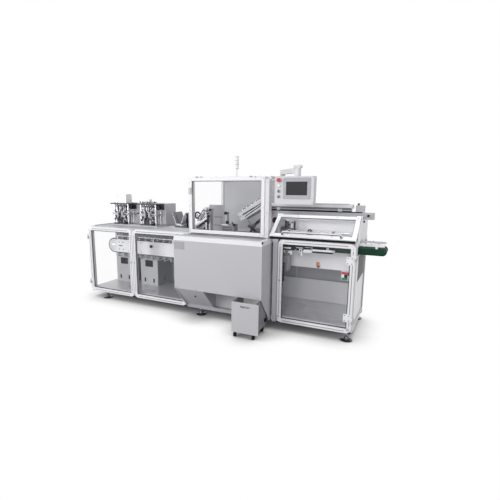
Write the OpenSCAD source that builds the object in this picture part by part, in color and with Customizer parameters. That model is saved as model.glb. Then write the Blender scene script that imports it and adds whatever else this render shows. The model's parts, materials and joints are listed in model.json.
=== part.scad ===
// Automatic cartoner: bucket-chain infeed, feeders, guarded carton magazine and belt outfeed.
// Drawn along the line: x from the infeed end, y from the front doors to the rear, z from the floor.

/* [Frame] */
// Length of the frame along the line
frame_l = 3350; // [3200:10:3600]
// Depth of the frame from the front doors to the rear
frame_d = 800; // [780:10:950]
// Height of the base frame above the floor
base_h = 945; // [920:5:1000]
// Height of the feet under the frame
foot_h = 90; // [70:5:110]
// Height of the fixed rails
rail_h = 40; // [30:1:50]
// Depth of the fixed rails and width of the posts
rail_w = 30; // [24:1:36]
// Thickness of sheet panels
sheet_t = 5; // [3:0.5:6]
// Length of the infeed module, up to the hood
infeed_l = 1525; // [1450:5:1600]
// Diameter of a foot's disc
foot_dia = 110; // [90:2:130]
// Diameter of a foot's screw
foot_screw = 24; // [16:1:30]

/* [Doors] */
// Width of the door profiles
profile_w = 45; // [36:1:50]
// Corner radius of the profiles
profile_r = 7; // [3:0.5:10]
// Thickness of the clear sheets
pane_t = 5; // [3:0.5:8]
// Gap round a moving door
door_gap = 5; // [5:0.5:8]
// Where the two infeed doors meet
door_split = 740; // [650:5:850]
// Radius of a hinge knuckle
knuckle_r = 7; // [6:0.5:9]
// Length of a hinge knuckle
knuckle_l = 30; // [20:1:40]
// Radius of a hinge pin
pin_r = 4; // [3:0.5:5]
// Radial running clearance of a hinge pin
pin_clear = 0.06; // [0.03:0.01:0.1]
// Thickness of a hinge leaf
leaf_t = 4; // [3:0.5:5]
// Width of a hinge leaf on a door
leaf_w = 38; // [30:1:42]
// Distance of a hinge from the door's end
hinge_inset = 130; // [90:5:200]
// Inner radius of a door frame's bent corners
bend_r = 8; // [7:0.5:14]

/* [Hood] */
// Length of the hood along the line
hood_l = 1006; // [950:2:1050]
// How far the hood stands out in front of the doors
hood_out = 244; // [200:2:260]
// Height of the hood's lower front edge
hood_low = 375; // [370:1:420]
// Height of the slanted side's lowest point
hood_toe = 95; // [92:1:110]
// Width of the slanted apron
apron_w = 345; // [280:5:400]

/* [Infeed] */
// Radius of the conveyor's side plates
plate_r = 86; // [70:1:95]
// Thickness of the conveyor's side plates
plate_t = 8; // [6:0.5:10]
// Height of the conveyor's shafts
infeed_z = 671; // [640:1:700]
// Distance of the conveyor's front plate from the doors' plane
infeed_y = 290; // [270:2:300]
// Overall width of the conveyor
infeed_w = 150; // [120:2:160]
// Free end of the conveyor
infeed_x = 70; // [60:2:90]
// Distance between the conveyor's shafts
shaft_span = 1640; // [1500:20:1660]
// How far the chain stands out of the side plates
chain_out = 12; // [8:1:16]
// Thickness of the chain
chain_t = 8; // [6:0.5:10]
// Number of bucket flights on each run of the chain
flights = 17; // [12:1:19]
// Height of a flight
flight_h = 62; // [40:1:64]
// Thickness of a flight
flight_t = 4; // [3:0.5:6]
// Width of a flight's foot along the chain
foot_w = 26; // [20:1:32]
// Height of a flight's foot
flight_foot_h = 6; // [4:0.5:8]
// Width of a chain strand
chain_w = 16; // [12:1:20]
// Height of the product guides above the shafts
guide_z = 128; // [112:1:140]
// Height of a product guide's strip
guide_strip = 12; // [8:1:16]
// Number of tabs that carry a product guide
guide_tabs = 6; // [4:1:9]

/* [Pedestals and cabinet] */
// Width of a pedestal
pedestal_w = 285; // [250:5:320]
// Distance of the pedestals' fronts from the doors' plane
pedestal_y = 440; // [440:1:460]
// Pitch of the two pedestals
pedestal_pitch = 435; // [400:5:460]
// Wall of a pedestal
pedestal_wall = 6; // [4:0.5:8]
// Width of a pedestal's window
window_w = 130; // [100:2:160]
// Height of a pedestal's window
window_h = 90; // [60:2:110]
// Width of a pedestal's slot
slot_w = 25; // [16:1:30]
// Height of a pedestal's slot
slot_h = 57; // [40:1:70]
// Length of the rear cabinet
cabinet_l = 890; // [850:5:920]
// Depth of the rear cabinet
cabinet_d = 230; // [200:5:240]
// Height of the rear cabinet
cabinet_h = 290; // [250:5:340]
// Margin round the cabinet's doors
cabinet_margin = 24; // [16:1:36]
// Width and depth of the seam round a cabinet door
seam = 3; // [2:0.5:5]

/* [Feeders] */
// Diameter of a feeder column
column_dia = 26; // [18:1:32]
// Height of the feeder columns
column_h = 262; // [230:2:300]
// Length of a feeder's top plate
feeder_l = 310; // [280:5:330]
// Depth of a feeder's top plate
feeder_d = 180; // [160:5:190]
// Pitch of the two feeders
feeder_pitch = 450; // [430:5:470]
// Thickness of a feeder's plates
feeder_t = 15; // [10:1:20]
// Height of the clamp bars above the shelf
clamp_rise = 120; // [90:5:150]
// Height of a clamp bar
clamp_h = 30; // [20:1:40]
// Depth of a clamp bar
clamp_d = 44; // [40:1:50]
// Width of the product channel
channel_w = 130; // [100:5:150]
// Width of the hopper on the first feeder
hopper_w = 140; // [100:5:160]
// Height of the hopper
hopper_h = 115; // [90:5:140]
// Side of a feeder's motor
motor_w = 66; // [50:2:68]
// Length of the rods on the second feeder
rod_l = 65; // [40:5:80]

/* [Leaflets] */
// Width of the leaflet chute
chute_w = 190; // [150:5:220]
// Height of the leaflet chute
chute_h = 150; // [120:5:180]
// Length of the leaflet chute
chute_l = 220; // [180:5:240]
// Wall of the leaflet chute
chute_wall = 6; // [4:0.5:8]
// Height of the chute's stand
chute_rise = 28; // [20:1:40]
// Height of the leaflet unit's plates
leaflet_h = 285; // [240:5:320]
// How far the leaflet unit's plates lean over
leaflet_lean = 95; // [60:5:105]
// Width of the leaflet unit
leaflet_w = 110; // [80:5:130]
// Number of the leaflet unit's rollers
leaflet_rollers = 4; // [3:1:5]

/* [Guard] */
// Length of the guard along the line
guard_l = 930; // [880:5:950]
// Height of the guard above the base
guard_h = 615; // [560:5:660]
// Width of the guard's profiles
guard_w = 40; // [34:1:45]
// Height of the tower light's pole
tower_pole = 115; // [90:5:160]
// Height of the tower light's lamp
tower_h = 150; // [100:5:180]
// Diameter of the tower light's lamp
tower_dia = 46; // [36:1:60]

/* [Magazine] */
// Length of the carton magazine
magazine_l = 1090; // [1000:10:1120]
// Height of the magazine's lower beam
beam_h = 67; // [50:1:80]
// Depth of the magazine's beam
beam_d = 50; // [40:1:60]
// Height of the beam above the base
beam_rise = 194; // [190:1:210]
// Depth of the magazine's tray
tray_d = 160; // [120:5:180]
// Height of the tray's rim
tray_h = 39; // [25:1:45]
// Gap between the beam and the tray
tray_gap = 35; // [25:1:45]
// Length of the magazine's tray
tray_l = 885; // [800:5:900]
// Length of the block on the beam's end
end_block_l = 83; // [60:1:100]
// Height of the block on the beam's end
end_block_h = 69; // [50:1:80]
// Slope of the inclined carton rails
incline_deg = 32; // [28:1:36]
// Length of the inclined carton rails
incline_l = 300; // [260:5:320]
// Diameter of the handwheel
wheel_dia = 66; // [50:1:80]
// Length of the carton feeder's block
block_l = 150; // [120:5:170]
// Depth of the carton feeder's block
block_d = 90; // [70:5:110]
// Height of the carton feeder's block
block_h = 90; // [60:5:110]
// Length of the carton feeder's adjusting stem
stem_l = 110; // [80:5:140]

/* [Sloped cover] */
// Height of the cover's hinge above the base
cover_rise = 223; // [220:1:240]
// Distance of the cover's hinge from the doors' plane
cover_y = 280; // [270:2:300]
// Length of the cover down its slope
cover_l = 345; // [330:1:350]
// Slope of the closed cover
cover_deg = 35; // [32:1:38]
// Thickness of the cover's frame
cover_t = 30; // [24:1:34]
// Diameter of the cover's handle
handle_dia = 20; // [14:1:26]
// Length of the cover's handle
handle_l = 560; // [400:10:640]

/* [Outfeed] */
// How far the outfeed stands out beyond the frame
outfeed_out = 234; // [150:2:300]
// Width of the outfeed belt
belt_w = 190; // [150:5:210]
// Distance of the belt's carrying face below the base's top
belt_drop = 52; // [45:1:65]
// Distance between the belt's rollers
belt_run = 450; // [400:10:520]
// Number of closing units over the carton's way
closing_units = 2; // [1:1:3]
// Radius of the belt's end rollers
roller_r = 33; // [28:1:36]
// Thickness of the belt
belt_t = 3; // [2:0.5:4]
// Distance of the belt from the doors' plane
belt_y = 205; // [200:1:220]

/* [Operator panel] */
// Width of the operator panel
panel_w = 380; // [340:5:400]
// Height of the operator panel
panel_h = 265; // [240:5:265]
// Depth of the operator panel
panel_d = 95; // [70:5:110]
// Width of the screen's bezel
bezel_w = 262; // [240:2:280]
// Height of the screen's bezel
bezel_h = 200; // [180:2:220]
// Width of the screen
screen_w = 205; // [180:1:220]
// Height of the screen
screen_h = 127; // [110:1:150]
// Width of the arm's box section
arm_w = 50; // [40:1:60]
// Radius of the arm's pivot pin
pivot_r = 14; // [10:0.5:18]

/* [Reject cart] */
// Width of the cart
cart_w = 248; // [230:2:270]
// Depth of the cart
cart_d = 285; // [250:5:300]
// Height of the cart's rim
cart_h = 364; // [330:1:366]
// Height of the cart's floor
cart_floor = 66; // [60:1:90]
// Wall of the cart
cart_wall = 4; // [3:0.5:6]
// How far the cart stands out in front of the hood
cart_out = 116; // [90:2:130]
// Diameter of a castor wheel
castor_dia = 48; // [40:1:54]
// Width of a castor wheel
castor_w = 18; // [14:1:24]

/* [Hidden] */
$fn = 48;
overlap = 1;
turn_gap = 0.5;
fit_gap = 0.3;
line_l = frame_l + outfeed_out;
front_reach = hood_out + cart_out;
mid_x = line_l / 2;
mid_y = (frame_d - front_reach) / 2;
rail_y = profile_w + door_gap;
rear_y = frame_d - rail_w;
low_rail = foot_h + rail_h;
pan_t = 4;
pan_top = low_rail + pan_t;
top_rail = base_h - rail_h;
rail_x = leaf_t;
right_x = frame_l - leaf_t - rail_w;
hood_x = infeed_l;
hood_end = hood_x + hood_l;
post_gap = 24;
post_x = hood_end + post_gap;
door_x = post_x + profile_w + door_gap;
bay_xs = [rail_x, hood_x + sheet_t, post_x, right_x];
door_low = foot_h;
door_high = base_h;
deck_top = base_h + pan_t;
guard_x = infeed_l + profile_w;
guard_end = guard_x + guard_l;
guard_top = base_h + guard_h;
guard_rail = guard_top - rail_w;
guard_door_end = guard_end - guard_w - door_gap;
chain_r = plate_r + chain_out;
drum_r = chain_r - chain_t - fit_gap;
shaft_x = infeed_x + chain_r;
flight_pitch = shaft_span / flights;
infeed_rear = infeed_y + infeed_w;
cabinet_set = 60;
cabinet_y = pedestal_y + cabinet_set;
cabinet_end = rail_x + cabinet_l;
shelf_z = deck_top;
feeder_set = 30;
feeder_x = 140;
feeder_y = cabinet_y - feeder_d - feeder_set;
channel_x = (feeder_l - channel_w) / 2;
beam_in = 150;
beam_set = 120;
beam_z = base_h + beam_rise;
beam_x = guard_end - beam_in;
beam_y = cabinet_y - beam_set;
tray_z = beam_z + beam_h + tray_gap;
cover_in = 15;
cover_z = base_h + cover_rise;
cover_x = guard_end + cover_in;
cover_end = frame_l - cover_in;
belt_z = base_h - belt_drop;
belt_mid = belt_z - belt_t - roller_r;
outfeed_end = line_l - roller_r - belt_t;
outfeed_x = outfeed_end - belt_run;
inner_gap = 25;
inner_y = belt_y + belt_w + inner_gap;
panel_in = 55;
panel_lift = 10;
panel_x = guard_end + panel_in;
panel_z = tray_z + tray_h + panel_lift;
panel_top = panel_z + panel_h;
pivot_set = 50;
pivot_x = guard_end - rail_w / 2;
pivot_y = frame_d / 2 + pivot_set;
arm_lift = 26;
arm_z = guard_top + arm_lift;
arm_h = 46;
head_x = panel_x + panel_w * 0.55;
head_y = door_gap + panel_d / 2;
cart_gap = 8;
cart_x = hood_end - sheet_t - cart_gap - cart_w;
cart_y = -front_reach;

// The line's own coordinates, moved so that the part stands about its middle.
module place() { translate([-mid_x, -mid_y, 0]) children(); }

// A block between two corners.
module block(a, b) { translate(a) cube(b - a); }

// Section of a profile with rounded corners.
module section(w, d, r) {
    translate([r, 0]) square([w - 2 * r, d]);
    translate([0, r]) square([w, d - 2 * r]);
    for (x = [r, w - r], y = [r, d - r]) translate([x, y]) circle(r);
}

// Upright profile and level profile, from a low corner.
module upright(p, w, d, h) { translate(p) linear_extrude(h) section(w, d, profile_r); }
module level(p, l, d, h) {
    translate(p) rotate([90, 0, 90]) linear_extrude(l) section(d, h, profile_r);
}

// Plate in the plane of depth and height, from an outline.
module side_plate(x, t, outline) {
    translate([x, 0, 0]) rotate([90, 0, 90]) linear_extrude(t) polygon(outline);
}

// A drawing of the plane of length and height, made t thick from a depth on.
module at_depth(y, t) { translate([0, y + t, 0]) rotate([90, 0, 0]) linear_extrude(t) children(); }

// Outline round two circles on a level line.
module stadium(l, r) {
    circle(r);
    translate([l, 0]) circle(r);
    translate([0, -r]) square([l, 2 * r]);
}

// Rod along the depth, from a point towards the rear.
module cross_rod(p, r, l) { translate(p) rotate([-90, 0, 0]) cylinder(r = r, h = l); }

// Knob with a neck, standing on a face.
module knob(r, h) {
    cylinder(r = r / 2, h = h);
    translate([0, 0, h / 3]) cylinder(r = r, h = h * 2 / 3);
}

// Door frame of four profiles, standing in the plane of length and height.
module frame_bars(x0, x1, z0, z1, w) {
    upright([x0, 0, z0], w, w, z1 - z0);
    upright([x1 - w, 0, z0], w, w, z1 - z0);
    for (z = [z0, z1 - w]) level([x0 + w - overlap, 0, z], x1 - x0 - 2 * w + 2 * overlap, w, w);
}

// Quarter bend of a profile about a level axis, turned to its corner.
module frame_bend(x, z, turn, w) {
    translate([x, w, z]) rotate([90, 0, 0]) rotate(turn) rotate_extrude(angle = 90)
        translate([bend_r, 0]) section(w, w, profile_r);
}

// Door frame bent from one profile, with round corners.
module bent_frame(x0, x1, z0, z1, w) {
    c = w + bend_r;
    for (x = [x0, x1 - w]) upright([x, 0, z0 + c], w, w, z1 - z0 - 2 * c);
    for (z = [z0, z1 - w]) level([x0 + c, 0, z], x1 - x0 - 2 * c, w, w);
    frame_bend(x1 - c, z1 - c, 0, w);
    frame_bend(x0 + c, z1 - c, 90, w);
    frame_bend(x0 + c, z0 + c, 180, w);
    frame_bend(x1 - c, z0 + c, 270, w);
}

// Sheet that fills a door frame.
module frame_pane(x0, x1, z0, z1, w) {
    block([x0 + w, (w - pane_t) / 2, z0 + w], [x1 - w, (w + pane_t) / 2, z1 - w]);
}

// Sheet with round corners that fills a bent frame.
module bent_pane(x0, x1, z0, z1, w) {
    translate([x0 + w, 0, z0 + w]) at_depth((w - pane_t) / 2, pane_t)
        section(x1 - x0 - 2 * w, z1 - z0 - 2 * w, bend_r);
}

function hinge_zs(z0, z1) = [z0 + hinge_inset, z1 - hinge_inset];

// Knuckle with its bore and leaf on a door's front, side is 1 where the door lies to the right.
module door_leaf(x, z, side) {
    difference() {
        union() {
            translate([x, -knuckle_r - overlap, z]) cylinder(r = knuckle_r, h = knuckle_l);
            translate([side > 0 ? x : x - leaf_w, -leaf_t, z]) cube([leaf_w, leaf_t, knuckle_l]);
        }
        translate([x, -knuckle_r - overlap, z - overlap])
            cylinder(r = pin_r + pin_clear, h = knuckle_l + 2 * overlap);
    }
}

// Fixed knuckle below the door's one, with the pin that stands in it.
module fixed_knuckle(x, z) {
    translate([x, -knuckle_r - overlap, z - knuckle_l - turn_gap]) {
        cylinder(r = knuckle_r, h = knuckle_l);
        cylinder(r = pin_r, h = 2 * knuckle_l);
    }
}

left_hinge = knuckle_r;
middle_hinge = hood_x - knuckle_r - overlap;
right_hinge = frame_l - knuckle_r;
left_door = [leaf_t + door_gap, door_split - door_gap / 2];
middle_door = [door_split + door_gap / 2, hood_x - 2 * door_gap];
right_door = [door_x, frame_l - leaf_t - door_gap];

module long_rails() {
    color("gainsboro") place()
    for (y = [rail_y, rear_y], z = [foot_h, top_rail])
        block([rail_x, y, z], [frame_l - leaf_t, y + rail_w, z + rail_h]);
}

// Rails across the frame, the upper right one broken where cartons leave on the belt.
module cross_rails() {
    color("gainsboro") place()
    difference() {
        for (x = bay_xs, z = [foot_h, top_rail])
            block([x, rail_y + rail_w, z], [x + rail_w, rear_y, z + rail_h]);
        block([right_x - overlap, belt_y - exit_margin, top_rail - overlap],
            [frame_l, inner_y, base_h + overlap]);
    }
}

module posts() {
    color("gainsboro") place()
    {
        for (x = bay_xs, y = [rail_y, rear_y])
            block([x, y, low_rail], [x + rail_w, y + rail_w, top_rail]);
        block([post_x, 0, foot_h], [post_x + profile_w, rail_y, base_h]);
    }
}

module floor_pan() {
    color("darkgray") place()
    block([rail_x, rail_y + rail_w, low_rail], [frame_l - leaf_t, rear_y, pan_top]);
}

foot_in = 230;
foot_xs = [foot_in, frame_l / 2, frame_l - foot_dia / 2];
foot_disc_h = 14;
foot_plate_t = 8;

// Levelling foot under a plate that reaches to the rail at the given depth.
module foot(x, y, plate_y0, plate_y1) {
    translate([x, y, 0]) rotate_extrude()
        polygon([[0, 0], [foot_dia / 2, 0], [foot_dia / 2, foot_disc_h / 2],
            [foot_screw, foot_disc_h], [foot_screw, 2 * foot_disc_h],
            [foot_screw / 2, 2 * foot_disc_h], [foot_screw / 2, foot_h - foot_plate_t / 2],
            [0, foot_h - foot_plate_t / 2]]);
    block([x - foot_dia / 2, plate_y0, foot_h - foot_plate_t], [x + foot_dia / 2, plate_y1, foot_h]);
}

module levelling_feet() {
    color("dimgray") place()
    for (x = foot_xs) {
        foot(x, rail_y + rail_w / 2, rail_y, rail_y + 2 * rail_w);
        foot(x, frame_d - foot_dia / 2, frame_d - foot_dia, frame_d);
    }
}

module rear_panels() {
    color("gainsboro") place()
    for (i = [0 : len(bay_xs) - 2])
        block([bay_xs[i] + rail_w, rear_y + (rail_w - sheet_t) / 2, low_rail],
            [bay_xs[i + 1], rear_y + (rail_w + sheet_t) / 2, top_rail]);
}

// Clear sheets that close the infeed end and the guard's end.
module end_panes() {
    color("white") place() {
        block([rail_x + (rail_w - pane_t) / 2, rail_y + rail_w, pan_top],
            [rail_x + (rail_w + pane_t) / 2, rear_y, top_rail]);
        block([guard_x + (rail_w - pane_t) / 2, rail_y + rail_w, deck_top],
            [guard_x + (rail_w + pane_t) / 2, rear_y, guard_rail]);
    }
}

exit_margin = 20;
vent_y = 280;
vent_drop = 415;
vent_z = base_h - vent_drop;
vent_l = 470;
vent_gap = 11;
vent_pitch = 19;
vent_slots = 14;

// End panel with a row of vent slots, open where cartons leave.
module right_end_panel() {
    color("gainsboro") place()
    difference() {
        block([right_x + (rail_w - sheet_t) / 2, rail_y + rail_w, pan_top],
            [right_x + (rail_w + sheet_t) / 2, rear_y, top_rail]);
        block([right_x, belt_y - exit_margin, belt_mid - roller_r - belt_t - exit_margin],
            [right_x + rail_w, inner_y, base_h]);
        for (i = [0 : vent_slots - 1])
            translate([right_x, vent_y, vent_z + i * vent_pitch]) cube([rail_w, vent_l, vent_gap]);
    }
}

pedestal_set = 25;
pedestal_x = rail_x + rail_w + pedestal_set;
pedestal_gap = 10;
pedestal_d = rear_y - pedestal_y - pedestal_gap;
pedestal_h = base_h - pan_top;
slot_z = 35;
slot_pitch = 148;
window_z = 250;

// Hollow pedestals under the cabinet, with a window, two low slots and one slot in the side.
module pedestals() {
    wall = pedestal_wall;
    color("silver") place()
    for (i = [0, 1]) translate([pedestal_x + i * pedestal_pitch, pedestal_y, pan_top])
        difference() {
            cube([pedestal_w, pedestal_d, pedestal_h]);
            translate([wall, wall, -overlap])
                cube([pedestal_w - 2 * wall, pedestal_d - 2 * wall, pedestal_h - wall + overlap]);
            translate([(pedestal_w - window_w) / 2, -overlap, window_z])
                cube([window_w, wall + 2 * overlap, window_h]);
            for (s = [-1, 1]) translate([(pedestal_w + s * slot_pitch - slot_w) / 2, -overlap, slot_z])
                cube([slot_w, wall + 2 * overlap, slot_h]);
            translate([pedestal_w - wall - overlap, (pedestal_d - slot_w) / 2, slot_z])
                cube([wall + 2 * overlap, slot_w, slot_h]);
        }
}

guide_in = 60;
tab_w = 20;
tab_sink = 12;
tab_pitch = (shaft_span - 2 * guide_in - tab_w) / (guide_tabs - 1);
bolt_r = 5;
bolt_xs = [95, 160];
bolt_z = 48;
take_up_l = 50;
take_up_r = 9;

// Side plate of the conveyor: tabs carry the product guide, slots let the shafts be tightened.
module conveyor_plate() {
    difference() {
        union() {
            stadium(shaft_span, plate_r);
            translate([guide_in, guide_z]) square([shaft_span - 2 * guide_in, guide_strip]);
            for (i = [0 : guide_tabs - 1]) translate([guide_in + i * tab_pitch, plate_r - tab_sink])
                square([tab_w, guide_z - plate_r + tab_sink + overlap]);
        }
        for (x = bolt_xs, z = [-bolt_z, bolt_z], end = [x, shaft_span - x])
            translate([end, z]) circle(bolt_r);
        for (x = [bolt_xs[0], shaft_span - bolt_xs[1]]) translate([x, 0]) stadium(take_up_l, take_up_r);
    }
}

// Moves a drawing about the first shaft to its place on the line.
module at_shaft() { translate([shaft_x, 0, infeed_z]) children(); }

shaft_r = 18;
spacer_r = 14;
spacers = 4;
chain_side = 2;
strand_ys = [infeed_y + plate_t + chain_side, infeed_rear - plate_t - chain_side - chain_w];
bed_t = 5;
bed_drop = 3;
web_t = 20;
web_in = drum_r + chain_w;
inside_w = infeed_w - 2 * plate_t + 2 * overlap;

// Side plates, shafts with a pair of wheels for the chain, spacers and the slide bed under the products.
module infeed_body() {
    bed_y = strand_ys[0] + chain_w + chain_side;
    color("whitesmoke") place() at_shaft() {
        for (y = [infeed_y, infeed_rear - plate_t]) at_depth(y, plate_t) conveyor_plate();
        for (x = [0, shaft_span]) {
            cross_rod([x, infeed_y + plate_t - overlap, 0], shaft_r, inside_w);
            for (y = strand_ys) cross_rod([x, y, 0], drum_r, chain_w);
        }
        for (i = [1 : spacers])
            cross_rod([i * shaft_span / (spacers + 1), infeed_y + plate_t - overlap, 0], spacer_r, inside_w);
        block([web_in, infeed_y + (infeed_w - web_t) / 2, -spacer_r],
            [shaft_span - web_in, infeed_y + (infeed_w + web_t) / 2, chain_r - bed_drop - bed_t + overlap]);
        block([web_in, bed_y, chain_r - bed_drop - bed_t],
            [shaft_span - web_in, strand_ys[1] - chain_side, chain_r - bed_drop]);
    }
}

// Two strands of chain round the wheels.
module infeed_chain() {
    color("dimgray") place() at_shaft()
    for (y = strand_ys) at_depth(y, chain_w) difference() {
        stadium(shaft_span, chain_r);
        stadium(shaft_span, chain_r - chain_t);
    }
}

flight_w = infeed_w - 2 * plate_t - 4 * chain_side;
flight_cut = 12;
flight_slot_w = 62;
flight_slot_h = 16;

// Flight across both strands: a foot, and a wall with cut corners and a slot.
module flight() {
    translate([-foot_w / 2, 0, 0]) cube([foot_w, flight_w, flight_foot_h]);
    rotate([90, 0, 90]) linear_extrude(flight_t, center = true) difference() {
        polygon([[0, 0], [flight_w, 0], [flight_w, flight_h - flight_cut], [flight_w - flight_cut, flight_h],
            [flight_cut, flight_h], [0, flight_h - flight_cut]]);
        translate([(flight_w - flight_slot_w) / 2, flight_h / 2]) square([flight_slot_w, flight_slot_h]);
    }
}

// Flights at an even pitch on the chain's upper and lower runs.
module infeed_flights() {
    color("darkgray") place() at_shaft()
    translate([flight_pitch / 2, infeed_y + plate_t + 2 * chain_side, 0])
    for (i = [0 : flights - 1]) translate([i * flight_pitch, 0, 0]) {
        translate([0, 0, chain_r]) flight();
        translate([0, 0, -chain_r]) mirror([0, 0, 1]) flight();
    }
}

// Cabinet behind the feeders, a seam round each of its two doors.
module rear_cabinet() {
    leaf_l = (cabinet_l - 3 * cabinet_margin) / 2;
    leaf_h = cabinet_h - 2 * cabinet_margin;
    color("gainsboro") place()
    difference() {
        block([rail_x, cabinet_y, base_h], [cabinet_end, cabinet_y + cabinet_d, base_h + cabinet_h]);
        for (i = [0, 1])
            translate([rail_x + cabinet_margin + i * (leaf_l + cabinet_margin), 0, base_h + cabinet_margin])
            at_depth(cabinet_y - overlap, seam + overlap) difference() {
                square([leaf_l, leaf_h]);
                translate([seam, seam]) square([leaf_l - 2 * seam, leaf_h - 2 * seam]);
            }
    }
}

// Moves a feeder's drawing onto its place on the shelf.
module at_feeder(i) {
    translate([feeder_x + i * feeder_pitch, feeder_y, shelf_z + feeder_t]) children();
}

column_inset = 40;
column_xs = [column_inset, feeder_l - column_inset];
column_ys = [column_inset, feeder_d - column_inset];
rod_dia = 10;
rod_xs = [30, 100];
module feeder_columns() {
    color("whitesmoke") place() {
        for (i = [0, 1], x = column_xs, y = column_ys)
            at_feeder(i) translate([x, y, 0]) cylinder(d = column_dia, h = column_h);
        for (x = rod_xs)
            at_feeder(1) translate([x, feeder_d / 2, column_h + feeder_t]) cylinder(d = rod_dia, h = rod_l);
    }
}

// Shelf on the deck, open under each product channel, and a top plate on each feeder's columns.
module feeder_plates() {
    color("dimgray") place() {
        difference() {
            block([feeder_x, feeder_y, shelf_z],
                [feeder_x + feeder_pitch + feeder_l, cabinet_y, shelf_z + feeder_t]);
            product_drops(shelf_z, feeder_t);
        }
        for (i = [0, 1]) at_feeder(i) translate([0, 0, column_h]) cube([feeder_l, feeder_d, feeder_t]);
    }
}

// Openings through which products fall from the feeders into the buckets.
module product_drops(z, t) {
    translate([feeder_x + channel_x, feeder_y + column_inset, z - overlap])
    for (i = [0, 1]) translate([i * feeder_pitch, 0, 0])
        cube([channel_w, feeder_d - 2 * column_inset, t + 2 * overlap]);
}

channel_t = 6;
hopper_x = 100;
hopper_d = 110;
hopper_wall = 4;

// Clamp bars on the columns with the channel's side plates, and the hopper on the first top plate.
module feeder_units() {
    color("darkgray") place() {
        for (i = [0, 1]) at_feeder(i) difference() {
            union() {
                for (y = column_ys) translate([column_inset - clamp_d / 2, y - clamp_d / 2, clamp_rise])
                    cube([feeder_l - 2 * column_inset + clamp_d, clamp_d, clamp_h]);
                for (x = [channel_x - channel_t, channel_x + channel_w]) translate([x, column_inset, 0])
                    cube([channel_t, feeder_d - 2 * column_inset, clamp_rise + clamp_h]);
            }
            for (x = column_xs, y = column_ys) translate([x, y, clamp_rise - overlap])
                cylinder(d = column_dia + 2 * fit_gap, h = clamp_h + 2 * overlap);
        }
        at_feeder(0) translate([hopper_x, (feeder_d - hopper_d) / 2, column_h + feeder_t]) difference() {
            cube([hopper_w, hopper_d, hopper_h]);
            translate([hopper_wall, hopper_wall, hopper_wall])
                cube([hopper_w - 2 * hopper_wall, hopper_d - 2 * hopper_wall, hopper_h]);
        }
    }
}

chute_set = 95;
chute_gap = 10;
chute_x = cabinet_end + chute_set;
chute_y = cabinet_y + chute_gap;
chute_lip = 14;
chute_foot = 0.3 * chute_w;
stand_l = 30;
tray_edge = 60;

// Outline of the chute's trough with a lip on each side.
module chute_section() {
    polygon([[-chute_lip, chute_h], [-chute_lip, chute_h - chute_wall],
        [-chute_wall / 2, chute_h - chute_wall],
        [chute_foot - chute_wall / 2, 0], [chute_w - chute_foot + chute_wall / 2, 0],
        [chute_w + chute_wall / 2, chute_h - chute_wall], [chute_w + chute_lip, chute_h - chute_wall],
        [chute_w + chute_lip, chute_h], [chute_w - chute_wall / 2, chute_h],
        [chute_w - chute_foot - chute_wall / 2, chute_wall], [chute_foot + chute_wall / 2, chute_wall],
        [chute_wall / 2, chute_h]]);
}

// Leaflet chute on two stands, with a tray on the deck before it.
module leaflet_chute() {
    color("gray") place() {
        translate([chute_x, 0, deck_top + chute_rise]) at_depth(chute_y, chute_l) chute_section();
        for (y = [chute_y + stand_l, chute_y + chute_l - 2 * stand_l])
            block([chute_x + chute_foot, y, deck_top],
                [chute_x + chute_w - chute_foot, y + stand_l, deck_top + chute_rise + overlap]);
        block([chute_x - chute_lip, chute_y - chute_gap - tray_edge, deck_top],
            [chute_x + chute_w + chute_lip, chute_y - chute_gap, deck_top + chute_wall]);
    }
}

leaflet_gap = 12;
leaflet_x = guard_x + rail_w + leaflet_gap;
leaflet_y = 110;
leaflet_foot = 60;
leaflet_t = 8;
leaflet_base = 8;
leaflet_roller_r = 13;
leaflet_post = 22;
leaflet_post_h = 250;
roller_inset = 35;

// Leaflet unit: two leaning plates with rollers between them, and a post on its foot plate.
module leaflet_unit() {
    far_y = leaflet_y + leaflet_w;
    step = (leaflet_h - 2 * roller_inset) / (leaflet_rollers - 1);
    post_at = leaflet_x + leaflet_foot + leaflet_lean / 2;
    color("whitesmoke") place() translate([0, 0, deck_top]) {
        for (y = [leaflet_y, far_y - leaflet_t]) at_depth(y, leaflet_t) translate([leaflet_x, 0])
            polygon([[0, 0], [leaflet_foot, 0], [leaflet_foot + leaflet_lean, leaflet_h],
                [leaflet_lean, leaflet_h]]);
        for (i = [0 : leaflet_rollers - 1]) {
            z = roller_inset + i * step;
            cross_rod([leaflet_x + leaflet_foot / 2 + z * leaflet_lean / leaflet_h, leaflet_y + overlap, z],
                leaflet_roller_r, leaflet_w - 2 * overlap);
        }
        block([leaflet_x, leaflet_y, 0], [post_at + leaflet_post, far_y + leaflet_post, leaflet_base]);
        block([post_at, far_y, 0], [post_at + leaflet_post, far_y + leaflet_post, leaflet_post_h]);
    }
}

hood_rail = base_h - profile_w;
hood_drop = 12;
module hood_panels() {
    color("silver") place() {
        block([hood_x + sheet_t, -hood_out, hood_low], [hood_end - sheet_t, sheet_t - hood_out, hood_rail]);
        block([hood_x + profile_w, profile_w - hood_out, base_h - hood_drop],
            [hood_end - profile_w, rail_y, base_h - hood_drop + sheet_t]);
    }
}

module hood_sides() {
    color("darkgray") place()
    for (x = [hood_x, hood_end - sheet_t])
        side_plate(x, sheet_t, [[-hood_out, hood_low], [0, hood_toe], [rail_y, hood_toe],
            [rail_y, hood_rail], [-hood_out, hood_rail]]);
}

module hood_frame() {
    color("whitesmoke") place() {
        block([hood_x, -hood_out, hood_rail], [hood_end, profile_w - hood_out, base_h]);
        for (x = [hood_x, hood_end - profile_w])
            block([x, -hood_out, hood_rail], [x + profile_w, rail_y, base_h]);
        block([hood_x + sheet_t, 0, foot_h], [hood_end - sheet_t, rail_y, low_rail]);
    }
}

recess_h = 620;

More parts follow.
